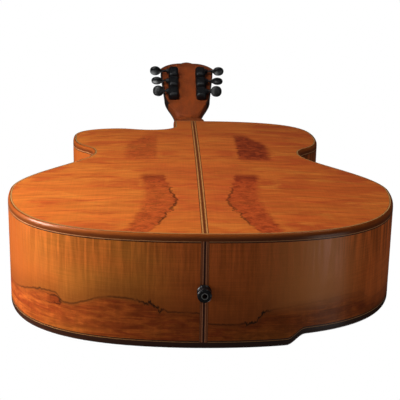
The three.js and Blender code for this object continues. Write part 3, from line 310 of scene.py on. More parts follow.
def grid_faces(rows, columns, around=False, closed=False):
    """Quads over a grid. around joins the last column to the first, closed the last row."""
    i = np.arange(rows if closed else rows - 1)[:, None]
    j = np.arange(columns if around else columns - 1)[None, :]
    here, there, beside = i * columns, ((i + 1) % rows) * columns, (j + 1) % columns
    return spots(here + j, here + beside, there + beside, there + j).reshape(-1, 4).tolist()


def tube_faces(rows, columns, closed=False):
    """Faces over sections of as many points each, with a flat cap at both ends unless closed."""
    faces = grid_faces(rows, columns, around=True, closed=closed)
    if not closed:
        last = (rows - 1) * columns
        faces += [list(range(columns))[::-1], list(range(last, last + columns))]
    return faces


def loft(name, sections, material, closed=False, **words):
    """A closed skin over an array of sections: rows, points of a section, x y z."""
    sections = np.asarray(sections, float)
    faces = tube_faces(*sections.shape[:2], closed)
    points = sections.reshape(-1, 3)
    return skin(name, points, outward(points, faces), material, **words)


def inside(points, outline):
    """Whether points lie inside a closed outline, by the crossings of a level line to the right."""
    x, y = points[:, :1], points[:, 1:]
    (ax, ay), (bx, by) = outline.T, np.roll(outline, -1, axis=0).T
    crosses = (ay > y) != (by > y)
    reach = ax + (y - ay) * (bx - ax) / np.where(by == ay, 1.0, by - ay)
    return np.sum(crosses & (x < reach), axis=1) % 2 == 1


def slab(name, rings, front, back, material, step=9.0, place=None, rim=None, **words):
    """A plate between two faces over a flat outline with holes.

    rings are closed outlines in x and h, the first the outer one. Points on a square net of the
    given step fill the outline, clear of its edge, and a constrained Delaunay net joins them. front
    and back are the y of both faces, numbers or functions of x and h, and the walls follow the
    rings. place() moves the finished points. The UV map holds the distance from the outer ring, or
    from the rim points given, and the height h.
    """
    edge = np.concatenate(rings)
    starts = np.cumsum([0] + [len(r) for r in rings])
    ring_edges = [spots(a + np.arange(b - a), a + (np.arange(b - a) + 1) % (b - a))
                  for a, b in zip(starts[:-1], starts[1:])]
    xs, hs = (np.arange(low + step / 2, high, step)
              for low, high in zip(edge.min(axis=0), edge.max(axis=0)))
    net = np.stack(np.meshgrid(xs, hs), -1).reshape(-1, 2)
    gap = np.min(np.linalg.norm(net[:, None] - edge[None, ::2], axis=-1), axis=1)
    flat = np.concatenate([edge, net[gap > step * 0.45]])
    found = delaunay_2d_cdt([Vector(p) for p in flat.tolist()],
                            np.concatenate(ring_edges).tolist(), [], 2, 1e-6)
    xy, triangles = np.array([tuple(p) for p in found[0]]), np.array(found[2])
    middle = xy[triangles].mean(axis=1)
    triangles = triangles[np.logical_xor.reduce([inside(middle, ring) for ring in rings])]
    a, b, c = (xy[triangles[:, k]] for k in range(3))
    left = np.cross(b - a, c - a) > 0
    triangles = np.where(left[:, None], triangles, triangles[:, ::-1])
    x, h = xy.T
    points = np.concatenate([spots(x, y(x, h) if callable(y) else y, h) for y in (front, back)])
    faces = triangles.tolist() + (triangles[:, ::-1] + len(xy)).tolist()
    new_place = {source: new for new, sources in enumerate(found[3]) for source in sources}
    for number, (ring, pairs) in enumerate(zip(rings, ring_edges)):
        lean = np.sum(ring[:, 0] * np.roll(ring[:, 1], -1) - ring[:, 1] * np.roll(ring[:, 0], -1))
        pairs = np.vectorize(new_place.get)(pairs)
        pairs = pairs if (lean > 0) != (number > 0) else pairs[:, ::-1]
        faces += [[p, p + len(xy), q + len(xy), q] for p, q in pairs.tolist()]
    faces = outward(points, faces)
    if place is not None:
        points = place(points)
    rim = rings[0] if rim is None else rim
    away = np.min(np.linalg.norm(xy[:, None] - rim[None], axis=-1), axis=1)
    return skin(name, points, faces, material, uv=np.tile(spots(away, h) * MM, (2, 1)), **words)


def disc_profile(corners, rounding=0.4, steps=5):
    """A polyline of radius and height with each inner corner rounded by a quadratic curve."""
    corners = np.asarray(corners, float)
    rows = [corners[:1]]
    for a, b, c in zip(corners[:-2], corners[1:-1], corners[2:]):
        cut = min(rounding, np.linalg.norm(a - b) * 0.45, np.linalg.norm(c - b) * 0.45)
        rows.append(bezier(b + unit(a - b) * cut, b, b + unit(c - b) * cut, steps=steps))
    return np.concatenate(rows + [corners[-1:]])


def turned(name, profile, centre, axis, material, sides=40, **words):
    """A profile of radius and height turned once round an axis; ends of no radius become poles."""
    profile, axis = np.asarray(profile, float), unit(np.asarray(axis, float))
    first = unit(np.cross(axis, (1, 0, 0) if abs(axis[0]) < 0.8 else (0, 1, 0)))
    turn = full_turn(sides)[:, None]
    rim = np.cos(turn) * first + np.sin(turn) * np.cross(axis, first)
    body = profile[profile[:, 0] > 0][..., None, None]
    points = (centre + body[:, 0] * rim + body[:, 1] * axis).reshape(-1, 3)
    faces = grid_faces(len(body), sides, around=True, closed=profile[0, 0] > 0)
    k = np.arange(sides)
    for pole, row in ((profile[0], 0), (profile[-1], len(body) - 1)):
        if pole[0] == 0:
            fan = spots(row * sides + k, row * sides + (k + 1) % sides, len(points))
            faces += (fan if row else fan[:, ::-1]).tolist()
            points = np.concatenate([points, [centre + pole[1] * axis]])
    return skin(name, points, outward(points, faces), material, **words)


# Outline of the body
def flank(treble, step=3.0):
    """Half the outline from the tail to the middle of the shoulder, as cubic Bezier curves.

    After the start, three points at a time are a curve's two handles and its end.
    """
    low, waist, up = LOWER_BOUT, WAIST, UPPER_BOUT
    to_waist, to_up = WAIST_H - LOWER_H, UPPER_H - WAIST_H
    points = [
        (0, 0), (low * 0.73, 0), (low, LOWER_H * 0.35), (low, LOWER_H),
        (low, LOWER_H + to_waist * 0.4), (waist, WAIST_H - to_waist * 0.3), (waist, WAIST_H),
        (waist, WAIST_H + to_up * 0.4), (up, UPPER_H - to_up * 0.78), (up, UPPER_H)]
    if treble:
        rise, wall, dip = HORN_H - UPPER_H, SCOOP_END_H - SCOOP_H, HORN_OUT - SCOOP_OUT
        wall_foot, corner = (WALL_OUT, SCOOP_END_H), (WALL_OUT, BODY_LENGTH)
        points += [
            (up, UPPER_H + rise * 0.72), (HORN_OUT + (up - HORN_OUT) * 0.55, HORN_H),
            (HORN_OUT, HORN_H),
            (HORN_OUT - dip * 0.45, HORN_H), (SCOOP_OUT + dip * 0.45, SCOOP_H),
            (SCOOP_OUT, SCOOP_H),
            ((SCOOP_OUT + WALL_OUT) / 2, SCOOP_H), (WALL_OUT, SCOOP_END_H - wall * 0.6), wall_foot,
            wall_foot, corner, corner]
    else:
        corner = (SHOULDER_FLAT, BODY_LENGTH)
        points += [(up, UPPER_H + (BODY_LENGTH - UPPER_H) * 0.76),
                   (SHOULDER_FLAT + (up - SHOULDER_FLAT) * 0.76, BODY_LENGTH), corner]
    points += [corner, (0, BODY_LENGTH), (0, BODY_LENGTH)]
    rows = [even(bezier(*points[k:k + 4]), step) for k in range(0, len(points) - 1, 3)]
    return np.concatenate([rows[0]] + [row[1:] for row in rows[1:]])


treble_row, bass_row = flank(True), flank(False) * (-1, 1)
ring = np.concatenate([treble_row, bass_row[-2:0:-1]])
before, after = unit(ring - np.roll(ring, 1, axis=0)), unit(np.roll(ring, -1, axis=0) - ring)
along = unit(before + after)
mitre = np.maximum(np.sum(along * after, axis=1, keepdims=True), 0.5)
ring_in = spots(-along[:, 1], along[:, 0]) / mitre
ring_s = np.concatenate([way_along(treble_row), -way_along(bass_row)[-2:0:-1]])
treble_rows = np.arange(len(treble_row))
bass_rows = np.concatenate([[0], np.arange(len(ring) - 1, len(treble_row) - 2, -1)])


def back_y(x, h):
    """The back's outer face: a straight taper with a shallow dome, d^2 / 2R in both directions."""
    def fall(d):
        return d * d / (2 * BACK_RADIUS)
    tail, neck = fall(BACK_APEX), fall(BODY_LENGTH - BACK_APEX)
    taper = DEPTH_AT_NECK - DEPTH_AT_TAIL + neck - tail
    return DEPTH_AT_TAIL + tail - fall(h - BACK_APEX) - fall(x) + taper * h / BODY_LENGTH


def bevel_share(row):
    """How far the arm bevel has come in at places on the edge: from beside the tail to the bout."""
    out, h = -row[:, 0] / LOWER_BOUT, row[:, 1]
    to_waist = WAIST_H - LOWER_H
    fade = 1 - smooth(h, LOWER_H + to_waist * 0.1, LOWER_H + to_waist * 0.73)
    return np.where(h < LOWER_H, smooth(out, 0.404, 0.493), np.where(out > 0, fade, 0.0))


ring_bevel = bevel_share(ring)


def inset(distance, rows=slice(None)):
    """The outline moved inwards, by one distance or one for each place."""
    reach = np.asarray(distance, float)
    return ring[rows] + ring_in[rows] * (reach[rows][:, None] if reach.ndim else reach)


def lift(flat, y):
    """x and h with a y become x, y, z."""
    return spots(flat[..., 0], y, TAIL_Z + flat[..., 1])


def on_back(flats):
    return back_y(flats[..., 0], flats[..., 1])


def on_front(flats):
    return BEVEL_DEPTH * ring_bevel[:, None] + 0 * flats[..., 0]


def edge_piece(name, profile, height, material, **words):
    """A piece right round the edge, of a profile of inset and drop; height(flat) is its face.

    The UV map holds the way along the edge and the way round the profile.
    """
    profile = np.asarray(profile, float)
    flats = np.stack([inset(d) for d in profile[:, 0]], axis=1)
    way = spots(ring_s[:, None], way_along(profile)[None]).reshape(-1, 2) * MM
    sections = lift(flats, height(flats) + profile[:, 1])
    return loft(name, sections, material, closed=True, uv=way, **words)


def binding_profile(lean, across, down):
    """A binding's section, its outer corner a quarter of an ellipse. lean is -1 on the back."""
    t = np.linspace(0, np.pi / 2, 9)
    arc = spots(across - across * np.cos(t), lean * (down - down * np.sin(t)))
    return np.concatenate([[(0.0, lean * BINDING_HEIGHT)], arc, [(BINDING_WIDTH, 0.0)],
                           [(BINDING_WIDTH, lean * BINDING_HEIGHT)]])


def face_lines(lean, depth=1.2):
    """The thin lines inside a binding, on the face of the plate."""
    start, end, proud = BINDING_WIDTH, BINDING_WIDTH + FACE_LINES, -lean * LINES_PROUD
    return [(start, proud), (end, proud), (end, lean * depth), (start, lean * depth)]


def side_lines(lean, depth=1.0):
    """The thin lines beside a binding, on the side."""
    start, end = lean * BINDING_HEIGHT, lean * (BINDING_HEIGHT + SIDE_LINES)
    return [(-LINES_PROUD, start), (-LINES_PROUD, end), (depth, end), (depth, start)]


# Woods, metals and the rest. Sizes of cells and marks are in millimetres
def smudges(place, size=35):
    """Handling marks for the roughness: broad soft clouds with finer breath in them."""
    return place.cells(size, size, size).noise(4, 0.6).ramp(0.35, 0.7)


SPALT = [(-240, 33), (-181.6, 33.5), (-159.9, 44.9), (-95.2, 42), (-62.1, 38.3), (-52.6, 30.4),
         (-40, 25.6), (-5.2, 26.1), (4.6, 37), (39.2, 38.9), (47.9, 43.7), (58.5, 47.3),
         (85.8, 50.4), (117.5, 42.4), (139.6, 37.4), (150.1, 45.7), (168.5, 44.2), (219.8, 33.7),
         (240, 33)]
SPALT_BLACK = (0.02, 0.008, 0.004)


def side_look(start):
    """Flamed maple: upright stripes, fine grain, and redder wood under a wavy black spalt line.

    s is the way from the tail along the side, on the treble side above 0, and y the depth below
    the soundboard. The spalt line is the drawn curve SPALT with noise added, and it ends in a loop.
    """
    way = at(start, "way")
    s, y, _ = way.parts()
    s, y = s / MM, y / MM
    flame = way.cells(6.5, 100).noise(2, 0.55, 0.35).ramp(0.4, 0.63)
    fine = way.cells(2.6, 26).noise(3, 0.6).ramp(0.35, 0.66)
    grain = way.cells(60, 1.3).noise(3, 0.6).ramp(0.3, 0.7)
    drift = way.cells(90, 38).noise().ramp(0.35, 0.65)
    mottle = way.cells(34, 5.5).noise(4, 0.62, 0.7).ramp(0.38, 0.64)
    quilt = way.cells(10, 6).noise(4, 0.7, 0.4).ramp(0.36, 0.66)

    # Sound wood, deepest in its flame near the back, with painted shade and a painted sheen on it
    wood = drift.mix((0.52, 0.160, 0.024), (0.56, 0.145, 0.022))
    wood = s.ramp(0, 70, 0.8, 0).mix(wood, (0.62, 0.128, 0.024))
    from_tail = abs(s + 5)
    depth = y.ramp(60, 108, 0.1, 0.46) * from_tail.ramp(40, 140, 0.6, 1)
    depth = depth * s.ramp(-110, -60, 1.7, 1)
    # Painted shade darkens the wood where shade falls: a little at the middle of the tail, to half
    # in the bass side's waist, and at the middle towards the soundboard, lighter towards the back
    painted_shade = from_tail.ramp(60, 150, 0.95, 1) * s.ramp(-460, -380, 0.5, 1)
    painted_shade = painted_shade * (y.ramp(38, 100, -0.14, 0.08) * abs(s).ramp(60, 190, 1, 0) + 1)
    wood = ((flame * depth + fine * 0.16 + grain * 0.16 + 0.82 - depth * 0.5) * painted_shade).shade(wood)
    # A paler band from s -180 to -36: a painted sheen, standing for a lamp's reflection in the
    # lacquer
    wood = (s.near(-108, 72) * 0.85).mix(wood, (0.84, 0.28, 0.075))
    wood = s.ramp(140, 225, 0, 0.85).mix(wood, (0.40, 0.088, 0.015))

    # Spalted wood under the line
    kinks = abs(s).near(50, 20).most(s.near(170, 14) * 0.35)
    wobble = (way.cells(4.5, 12).noise(4, 0.65) - 0.5) * (kinks * 22 + 2.5)
    under = s.drawn(-240, 240, 60, SPALT) + wobble - y
    red = mottle.mix((0.32, 0.050, 0.010), (0.54, 0.112, 0.018))
    red = (drift * y.ramp(4, 26, 0.6, 0.1)).mix(red, (0.50, 0.15, 0.022))
    red = (quilt * 0.28 + 0.84).shade(red)
    red = ((grain * 0.25 + flame * 0.1 + 0.8) * s.ramp(40, 150, 0.85, 1)).shade(red)
    red = s.ramp(-205, -130, 0.6, 1).shade(red)
    soft = s.ramp(-95, -55, 14, 5)
    colour = under.ramp(soft * -0.6, soft).mix(wood, red)
    rim = under.ramp(-26, 0) * under.ramp(0, 9, 1, 0) * s.ramp(-80, -55, 0.15, 0.38)
    colour = rim.mix(colour, (0.17, 0.034, 0.008))

    # The black line, broken up in places, and its loop
    present = s.ramp(-72, -58, 0.22, 1) * s.ramp(205, 235, 1, 0.3) * (kinks * 0.4 + 0.6)
    present = present * way.cells(14, 30).noise(3).ramp(0.36, 0.5, 0.45, 1)
    present = present.most((kinks * 1.6).least(1) * s.ramp(-72, -58, 0.3, 1))
    lean = (way.cells(11, 9).noise(3, 0.6) - 0.5) * 11
    loop_s, loop_y = (s - 160 + lean) / 17, (y - 38 + lean * 0.8) / 5
    loop = (loop_s * loop_s + loop_y * loop_y).near(1, 0.4) * s.ramp(150, 168, 0.75, 0.15)
    black = ((under / (kinks * 0.8 + 1)).near(0, 1.6) * present).most(loop)
    touch = smudges(way, 40)
    ripple = flame * y.ramp(50, 105, 0.1, 1)
    return {"Base Color": black.mix(colour, SPALT_BLACK),
            "Roughness": touch * 0.1 + 0.29 + ripple * 0.14 + black * 0.1,
            "Coat Weight": ripple * 0.28 + 0.06 - touch * 0.04,
            "Height": (ripple * 1.6 + grain * 0.3 - black * 0.6, 0.16, 0.0004)}


# The back's mottled patches, by height: their edges' distance from the middle, their strength
PATCH_NEAR = [(0, 54), (13, 50), (40, 42), (70, 33), (90, 28), (112, 27), (140, 33), (194, 38),
              (240, 42)]
PATCH_FAR = [(0, 80), (13, 76), (60, 66), (110, 60), (160, 62), (194, 66), (240, 60)]
PATCH_SHARE = [(0, 0.9), (40, 0.9), (70, 0.8), (120, 0.75), (155, 0.9), (190, 1), (240, 1)]
UPPER_PATCH_FAR = [(240, 84), (285, 86), (348, 84), (372, 73), (406, 63), (420, 60)]


def back_look(start):
    """Bookmatched maple: crosswise flame, lengthwise grain, darker patches in mirrored pairs."""
    place = at(start)
    x, y, z = place.parts()
    pair = start.vector(abs(x), y, z)
    across, out, h = x / MM, abs(x) / MM, z / MM - TAIL_Z

    def halves(bass, treble):
        """One number on the bass side and another on the treble side."""
        return across.ramp(-10, 10, bass, treble)

    # Sound wood
    flame = pair.cells(60, 60, 8).noise(2, 0.55, 0.5).ramp(0.36, 0.66)
    streak = pair.cells(26, 26, 2.6).noise(3, 0.6).ramp(0.3, 0.7)
    grain = pair.cells(1.1, 1.1, 140).noise().ramp(0.3, 0.7)
    drift = place.cells(110, 110, 70).noise(3).ramp(0.35, 0.68)
    fire = pair.cells(70, 70, 26).noise(5, 0.65, 0.9).ramp(0.46, 0.64)
    gold = place.cells(60, 60, 20).noise(5, 0.65, 0.7).ramp(0.5, 0.68)
    cloud = place.cells(30, 30, 12).noise(4, 0.6, 0.5).ramp(0.36, 0.64)
    warm = (across.ramp(-170, 170, 0.8, 0.1) + drift * 0.5 - 0.2).least(1).most(0)
    wood = warm.mix((0.84, 0.225, 0.034), (0.72, 0.145, 0.024))
    wood = (fire * 0.7).mix(wood, (0.62, 0.092, 0.021))
    wood = (gold * 0.6).mix(wood, (0.92, 0.29, 0.045))
    blush = out.ramp(30, 70, 0.5, 0) * h.ramp(20, 60) * h.ramp(200, 260, 1, 0.3)
    wood = (blush * (cloud * 0.7 + 0.3)).mix(wood, (0.72, 0.115, 0.030))
    wood = (flame * 0.15 + streak * 0.2 + grain * 0.06 + 0.77).shade(wood)

    # Where the lower and the upper patches are
    wander = (pair.cells(14, 14, 5).noise(4, 0.65) - 0.5) * 15
    edge, level = out + wander, h + wander
    past_near = edge - h.drawn(0, 240, 100, PATCH_NEAR)
    low = past_near.ramp(-1, 2) * (h.drawn(0, 240, 100, PATCH_FAR) - edge).ramp(-3, 5)
    low = low * level.ramp(185, 206, 1, 0) * h.drawn(0, 240, 1, PATCH_SHARE)
    top = edge.ramp(46, 51) * (h.drawn(240, 420, 120, UPPER_PATCH_FAR) - edge).ramp(-4, 6)
    top = top * level.ramp(252, 275) * level.ramp(380, 415, 1, 0) * halves(1, 0.6)

    # Their mottled red, with veins and a darker upper end
    mottle = pair.cells(9, 9, 7).noise(5, 0.7, 0.6).ramp(0.3, 0.66)
    stain = mottle.mix((0.30, 0.030, 0.008), (0.72, 0.112, 0.024))
    vein = abs((pair.cells(24, 24, 16).noise(4, 0.6, 0.9) * 17).sin()).ramp(0, 0.5, 0.85, 0)
    dusk = h.ramp(160, 185) * h.ramp(203, 215, 1, 0) * 0.45
    dark = (vein * halves(0.4, 0.9)).most(dusk)
    dark = dark.most((0.72 - mottle * 0.4) * halves(1, 0) * h.ramp(225, 250))
    stain = dark.mix(stain, (0.12, 0.012, 0.005))
    colour = (low * halves(1, 0.8)).most(top * 0.95).mix(wood, stain)
    jagged = (pair.cells(3.5, 3.5, 9).noise(3) - 0.5) * 6
    line = (past_near + jagged).near(0, 2) * h.ramp(14, 40) * h.ramp(135, 160, 1, 0)
    colour = (line * halves(0.75, 0.9)).mix(colour, (0.04, 0.01, 0.005))
    touch = smudges(place, 60)
    return {"Base Color": colour, "Roughness": touch * 0.1 + 0.33,
            "Coat Weight": 0.16 - touch * 0.06,
            "Height": (flame * 0.5 + streak * 0.3 + grain * 0.15, 0.1, 0.0003)}


LACQUER = {"Coat Roughness": 0.22, "Specular IOR Level": 0.2}
AMBER = {key: (1.0, 0.74, 0.44, 1.0) for key in ("Coat Tint", "Specular Tint")}


def wood_of(name, pale, deep, along, across=1.6, uv=None, rough=0.38, coat=0.2, bands=0.5,
            pores=0.4, rim_shade=0.0, foot=0.0, tint=None):
    """A straight-grained wood. along is 0, 1 or 2 for the way its grain runs; pores are dashes.

    rim_shade is the share of painted shade along the rim, by the UV map's distance from it, the rim
    itself painted black, and foot the share of painted shade at a binding's foot, by the map's way
    round it. tint colours the lacquer.
    """
    def look(start):
        place = at(start, uv)

        def grown(length, width):
            return place.cells(*(length if axis == along else width for axis in range(3)))
        grain = grown(across * 22, across).noise(3, 0.6).ramp(0.3, 0.7)
        band = grown(across * 132, across * 6).noise(2, 0.5, 0.4).ramp(0.34, 0.66)
        dash = grown(across * 4, across * 0.35).noise().ramp(0.58, 0.72) * pores
        colour = (band * bands + grain * (1 - bands)).mix(pale, deep)
        colour = dash.mix(colour, tuple(0.35 * part for part in deep))
        # Painted shade: a binding's foot darker than its lit top, over the first millimetres of the
        # way round it
        if foot:
            shade = (place.parts()[1] / MM).ramp(1.5, 5.5, foot, 0)
            colour = shade.mix(colour, (0.05, 0.014, 0.007))
        # Painted shade: darker towards the rim, and black on the rim itself
        if rim_shade:
            rim = at(start, "way").parts()[0] / MM
            shade = rim.ramp(0, 26, rim_shade, 0).most(rim.ramp(0.8, 3.4, 1, 0))
            colour = shade.mix(colour, (0.012, 0.006, 0.004))
        return {"Base Color": colour, "Roughness": smudges(place) * 0.12 + rough - grain * 0.04,
                "Height": (grain * 0.5 - dash, 0.2, 0.0002)}
    return finish_of(name, look, {**LACQUER, "Coat Weight": coat, **(tint or {})})


def lines_of(name, stops, uv=None):
    """Thin woods glued side by side, over the map's second number or to both sides of x = 0.

    stops are pairs of where a wood ends, in millimetres, and its colour.
    """
    def look(start):
        place = at(start, uv)
        across = (place.parts()[1] if uv else abs(place.parts()[0])) / MM
        fibre = place.noise(3, 0.6, scale=900).ramp(0.3, 0.7)
        colour = stops[-1][1]
        for end, wood in reversed(stops[:-1]):
            colour = across.ramp(end - 0.06, end + 0.06).mix(wood, colour)
        return {"Base Color": (fibre * 0.25 + 0.8).shade(colour),
                "Roughness": smudges(place) * 0.1 + 0.34, "Height": (fibre, 0.15, 0.0001)}
    return finish_of(name, look, {**LACQUER, "Coat Weight": 0.08})


def metal_of(name, colour, rough, metal, scratch=0.12, coat=0.0, uv=None, shine=0.5):
    """A metal or a hard glossy skin: fine scratches, smudges and slightly uneven colour."""
    def look(start):
        place = at(start, uv)
        cloud = place.cells(6, 6, 6).noise(4, 0.6).ramp(0.3, 0.7)
        scores = place.cells(0.15, 4, 0.15).noise().ramp(0.4, 0.7)
        return {"Base Color": (cloud * 0.25 + 0.86).shade(colour),
                "Roughness": smudges(place, 12) * scratch + scores * scratch * 0.5 + rough,
                "Height": (scores + cloud * 0.4, 0.08, 0.00005)}
    return finish_of(name, look, {"Metallic": metal, "Coat Weight": coat, "Coat Roughness": 0.08,
                                  "Specular IOR Level": shine})


def pearl_look(start):
    """Layers of shell: folded bands that go from white to pale green and rose."""
    fold = at(start).cells(2.4, 2.4, 2.4).noise(4, 0.6, 1.6)
    layer = (fold * 26).sin() * 0.5 + 0.5
    colour = layer.mix((0.75, 0.8, 0.74), (0.82, 0.7, 0.72))
    return {"Base Color": fold.ramp(0.35, 0.6).mix(colour, (0.86, 0.86, 0.82)),
            "Roughness": layer * 0.12 + 0.16, "Height": (layer, 0.1, 0.00005)}


def spruce_look(start):
    """Spruce from a bookmatched pair: dark winter lines, wider apart outside, and silk across."""
    x, y, z = at(start).parts()
    bend = start.vector(x * 12, 0.0, z * 2.5).noise() - 0.5
    rings = ((abs(x) / MM + bend * 6) ** 0.86) * 5.2
    winter = (rings.sin() * 0.5 + 0.5) ** 3
    silk = start.vector(x / (6 * MM), 0.0, z / (0.9 * MM)).noise(3).ramp(0.42, 0.7)
    drift = start.vector(x * 14, 0.0, z * 5).noise().ramp(0.35, 0.65)
    colour = drift.mix((0.70, 0.44, 0.19), (0.64, 0.37, 0.14))
    colour = (winter * 0.45).mix(colour, (0.42, 0.2, 0.07))
    touch = smudges(start.vector(x, y, z), 50)
    return {"Base Color": (silk * 0.08 + 0.94).shade(colour), "Roughness": touch * 0.12 + 0.32,
            "Height": (winter, 0.12, 0.0001)}


def rosette_look(start):
    """Rings about the soundhole: thin light and dark lines on both sides of a figured band."""
    x, _, z = at(start).parts()
    across, along = x / MM, z / MM - SOUNDHOLE_Z
    radius = (across * across + along * along) ** 0.5
    turn = start.maths("ARCTAN2", across, along)
    figure = start.vector(turn * 30, radius * 0.25, 0.0).noise(3, 0.6, 0.8).ramp(0.35, 0.66)
    band = figure.mix((0.3, 0.085, 0.025), (0.12, 0.035, 0.014))
    light = radius.near(55.2, 0.4).most(radius.near(61.3, 0.4))
    dark = radius.near(54.4, 0.45)
    for line in (56.1, 60.4, 62.1):
        dark = dark.most(radius.near(line, 0.45))
    colour = light.mix(dark.mix(band, (0.02, 0.014, 0.01)), (0.7, 0.58, 0.38))
    return {"Base Color": colour, "Roughness": figure * 0.1 + 0.3, "Height": (figure, 0.1, 0.0001)}


def wound_look(start):
    """Bronze wire wound round a core, one turn each third of a millimetre, worn in places."""
    length, angle, _ = at(start, "way").parts()
    turns = ((length / (0.33 * MM) + angle) * math.tau).sin() * 0.5 + 0.5
    wear = start.vector(length * 25, angle, 0.0).noise(3).ramp(0.35, 0.65)
    # The colour darkens in the grooves between turns: painted shade
    colour = (turns * 0.35 + 0.65).shade(wear.mix((0.66, 0.38, 0.17), (0.5, 0.27, 0.12)))
    return {"Base Color": colour, "Roughness": wear * 0.12 + 0.26, "Height": (turns, 0.4, 0.0001)}


maple_side = finish_of("maple_side", side_look, {**LACQUER, **AMBER})
maple_back = finish_of("maple_back", back_look, {
    "Coat Roughness": 0.2, "Specular IOR Level": 0.25, **AMBER})
# The back binding takes painted shade at its foot
binding_wood = wood_of("binding_wood", (0.42, 0.108, 0.017), (0.27, 0.055, 0.009), 0, 0.7, "way",
                       rough=0.32, coat=0.3, foot=0.62, tint=AMBER)
# The top binding is nearly black: painted shade along the soundboard's edge
edge_wood = wood_of("edge_wood", (0.055, 0.017, 0.008), (0.03, 0.01, 0.005), 0, 0.7, "way",
                    rough=0.34, coat=0.12)
DARK_LINE = (0.05, 0.015, 0.006)
face_line_wood = lines_of("face_line_wood", [
    (0.4, DARK_LINE), (1.6, (0.68, 0.34, 0.11)), (FACE_LINES, (0.2, 0.05, 0.014))], "way")
side_line_wood = lines_of("side_line_wood", [
    (0.75, (0.60, 0.25, 0.095)), (SIDE_LINES, DARK_LINE)], "way")
# These lines are duller than those by the back binding: painted shade along the soundboard's edge
top_line_wood = lines_of("top_line_wood", [
    (0.7, (0.46, 0.2, 0.065)), (SIDE_LINES, DARK_LINE)], "way")
graft_wood = lines_of("graft_wood", [
    (0.95, (0.055, 0.010, 0.004)), (2.05, (0.52, 0.20, 0.09)), (3.15, (0.24, 0.052, 0.014)),
    (3.65, (0.42, 0.15, 0.05)), (GRAFT / 2, (0.12, 0.03, 0.01))])
strip_wood = lines_of("strip_wood", [
    (0.6, (0.15, 0.034, 0.008)), (1.5, (0.36, 0.09, 0.018)), (2.6, (0.74, 0.33, 0.095)),
    (STRIP / 2, (0.26, 0.06, 0.014))])
# The headstock takes painted shade along its rim
head_wood = wood_of("head_wood", (0.28, 0.055, 0.009), (0.17, 0.030, 0.006), 2, 1.4,
                    rough=0.42, coat=0.06, rim_shade=0.4)
mahogany = wood_of("mahogany", (0.30, 0.068, 0.014), (0.19, 0.038, 0.009), 2, 1.4,
                   rough=0.42, coat=0.12)
ebony = wood_of("ebony", (0.022, 0.017, 0.014), (0.01, 0.008, 0.007), 2, 0.8,
                rough=0.36, coat=0.05)
bone = wood_of("bone", (0.74, 0.66, 0.5), (0.66, 0.57, 0.4), 0, 0.6,
               rough=0.34, coat=0.1, pores=0.15)
steel = metal_of("steel", (0.58, 0.57, 0.55), 0.22, 1.0)
tuner_metal = metal_of("tuner_metal", (0.006, 0.006, 0.0065), 0.34, 0.0, 0.1, 0.04, shine=0.25)
jack_metal = metal_of("jack_metal", (0.008, 0.008, 0.009), 0.24, 0.2, 0.08, 0.1, shine=0.35)
GLOSS = {"Coat Weight": 0.25, "Coat Roughness": 0.18}
pearl = finish_of("pearl", pearl_look, {"Coat Weight": 0.3, "Coat Roughness": 0.06})
top_spruce = finish_of("top_spruce", spruce_look, GLOSS)
rosette_wood = finish_of("rosette_wood", rosette_look, GLOSS)
wound_wire = finish_of("wound_wire", wound_look, {"Metallic": 1.0})
plain_wire = metal_of("plain_wire", (0.62, 0.61, 0.58), 0.2, 1.0, 0.1, 0.0, "way")

# The woods and the rod inside, on the pieces carried over from the model
brace_wood = wood_of("brace_wood", (0.68, 0.45, 0.22), (0.55, 0.33, 0.14), 0, 1.2,
                     rough=0.55, coat=0.0, bands=0.4, pores=0.1)
block_wood = wood_of("block_wood", (0.36, 0.12, 0.04), (0.26, 0.075, 0.025), 1, 1.4,
                     rough=0.55, coat=0.0)
lining_wood = wood_of("lining_wood", (0.42, 0.17, 0.06), (0.32, 0.11, 0.04), 2, 1.2,
                      rough=0.58, coat=0.0)
pad_wood = wood_of("pad_wood", (0.6, 0.3, 0.13), (0.5, 0.22, 0.09), 0, 1.0, rough=0.5, coat=0.0)
rod_metal = metal_of("rod_metal", (0.38, 0.37, 0.36), 0.38, 1.0, 0.2)
INSIDE = {"brace": brace_wood, "tone_bar": brace_wood, "block": block_wood,
          "lining": lining_wood, "bridge_plate": pad_wood, "center_strip": brace_wood,
          "truss_rod": rod_metal}


# Sides, graft and bindings
def side_wall(name, rows, node):
    """One side: outer and inner wall between both bindings, starting where it meets the graft."""
    s = way_along(ring[rows]) * (1 if rows is treble_rows else -1)
    table = np.concatenate([inset(0, rows), inset(SIDE_THICKNESS, rows), s[:, None],
                            ring_bevel[rows][:, None]], axis=1)
    x = np.abs(table[:, 0])
    first = [np.interp(GRAFT / 2, x[:8], column[:8]) for column in table.T]
    table = np.concatenate([[first], table[np.argmax(x > GRAFT / 2 + 0.5):]])
    outer, inner, s, bevel = table[:, :2], table[:, 2:4], table[:, 4], table[:, 5]
    low = BEVEL_DEPTH * bevel + BINDING_HEIGHT
    high, high_in = (on_back(flat) - BINDING_HEIGHT for flat in (outer, inner))
    sections = np.stack([lift(outer, low), lift(outer, high), lift(inner, high_in),
                         lift(inner, low)], 1)
    way = spots(s[:, None], sections[..., 1]).reshape(-1, 2) * MM
    loft(name, sections, maple_side, uv=way, slot="side_maple", instead=(node,))


side_wall("treble_side", treble_rows, "side_treble")
side_wall("bass_side", bass_rows, "side_bass")

edge_piece("back_binding", binding_profile(-1, 2.1, 4.4), on_back, binding_wood,
           slot="binding_rosewood", instead=("binding_back",))
edge_piece("top_binding", binding_profile(1, 1.5, 2.2), on_front, edge_wood,
           slot="binding_rosewood", instead=("binding_top",))
edge_piece("back_face_lines", face_lines(-1), on_back, face_line_wood, slot="inlay_ebony")
edge_piece("back_side_lines", side_lines(-1), on_back, side_line_wood, slot="inlay_ebony")
edge_piece("top_side_lines", side_lines(1), on_front, top_line_wood, slot="inlay_ebony")

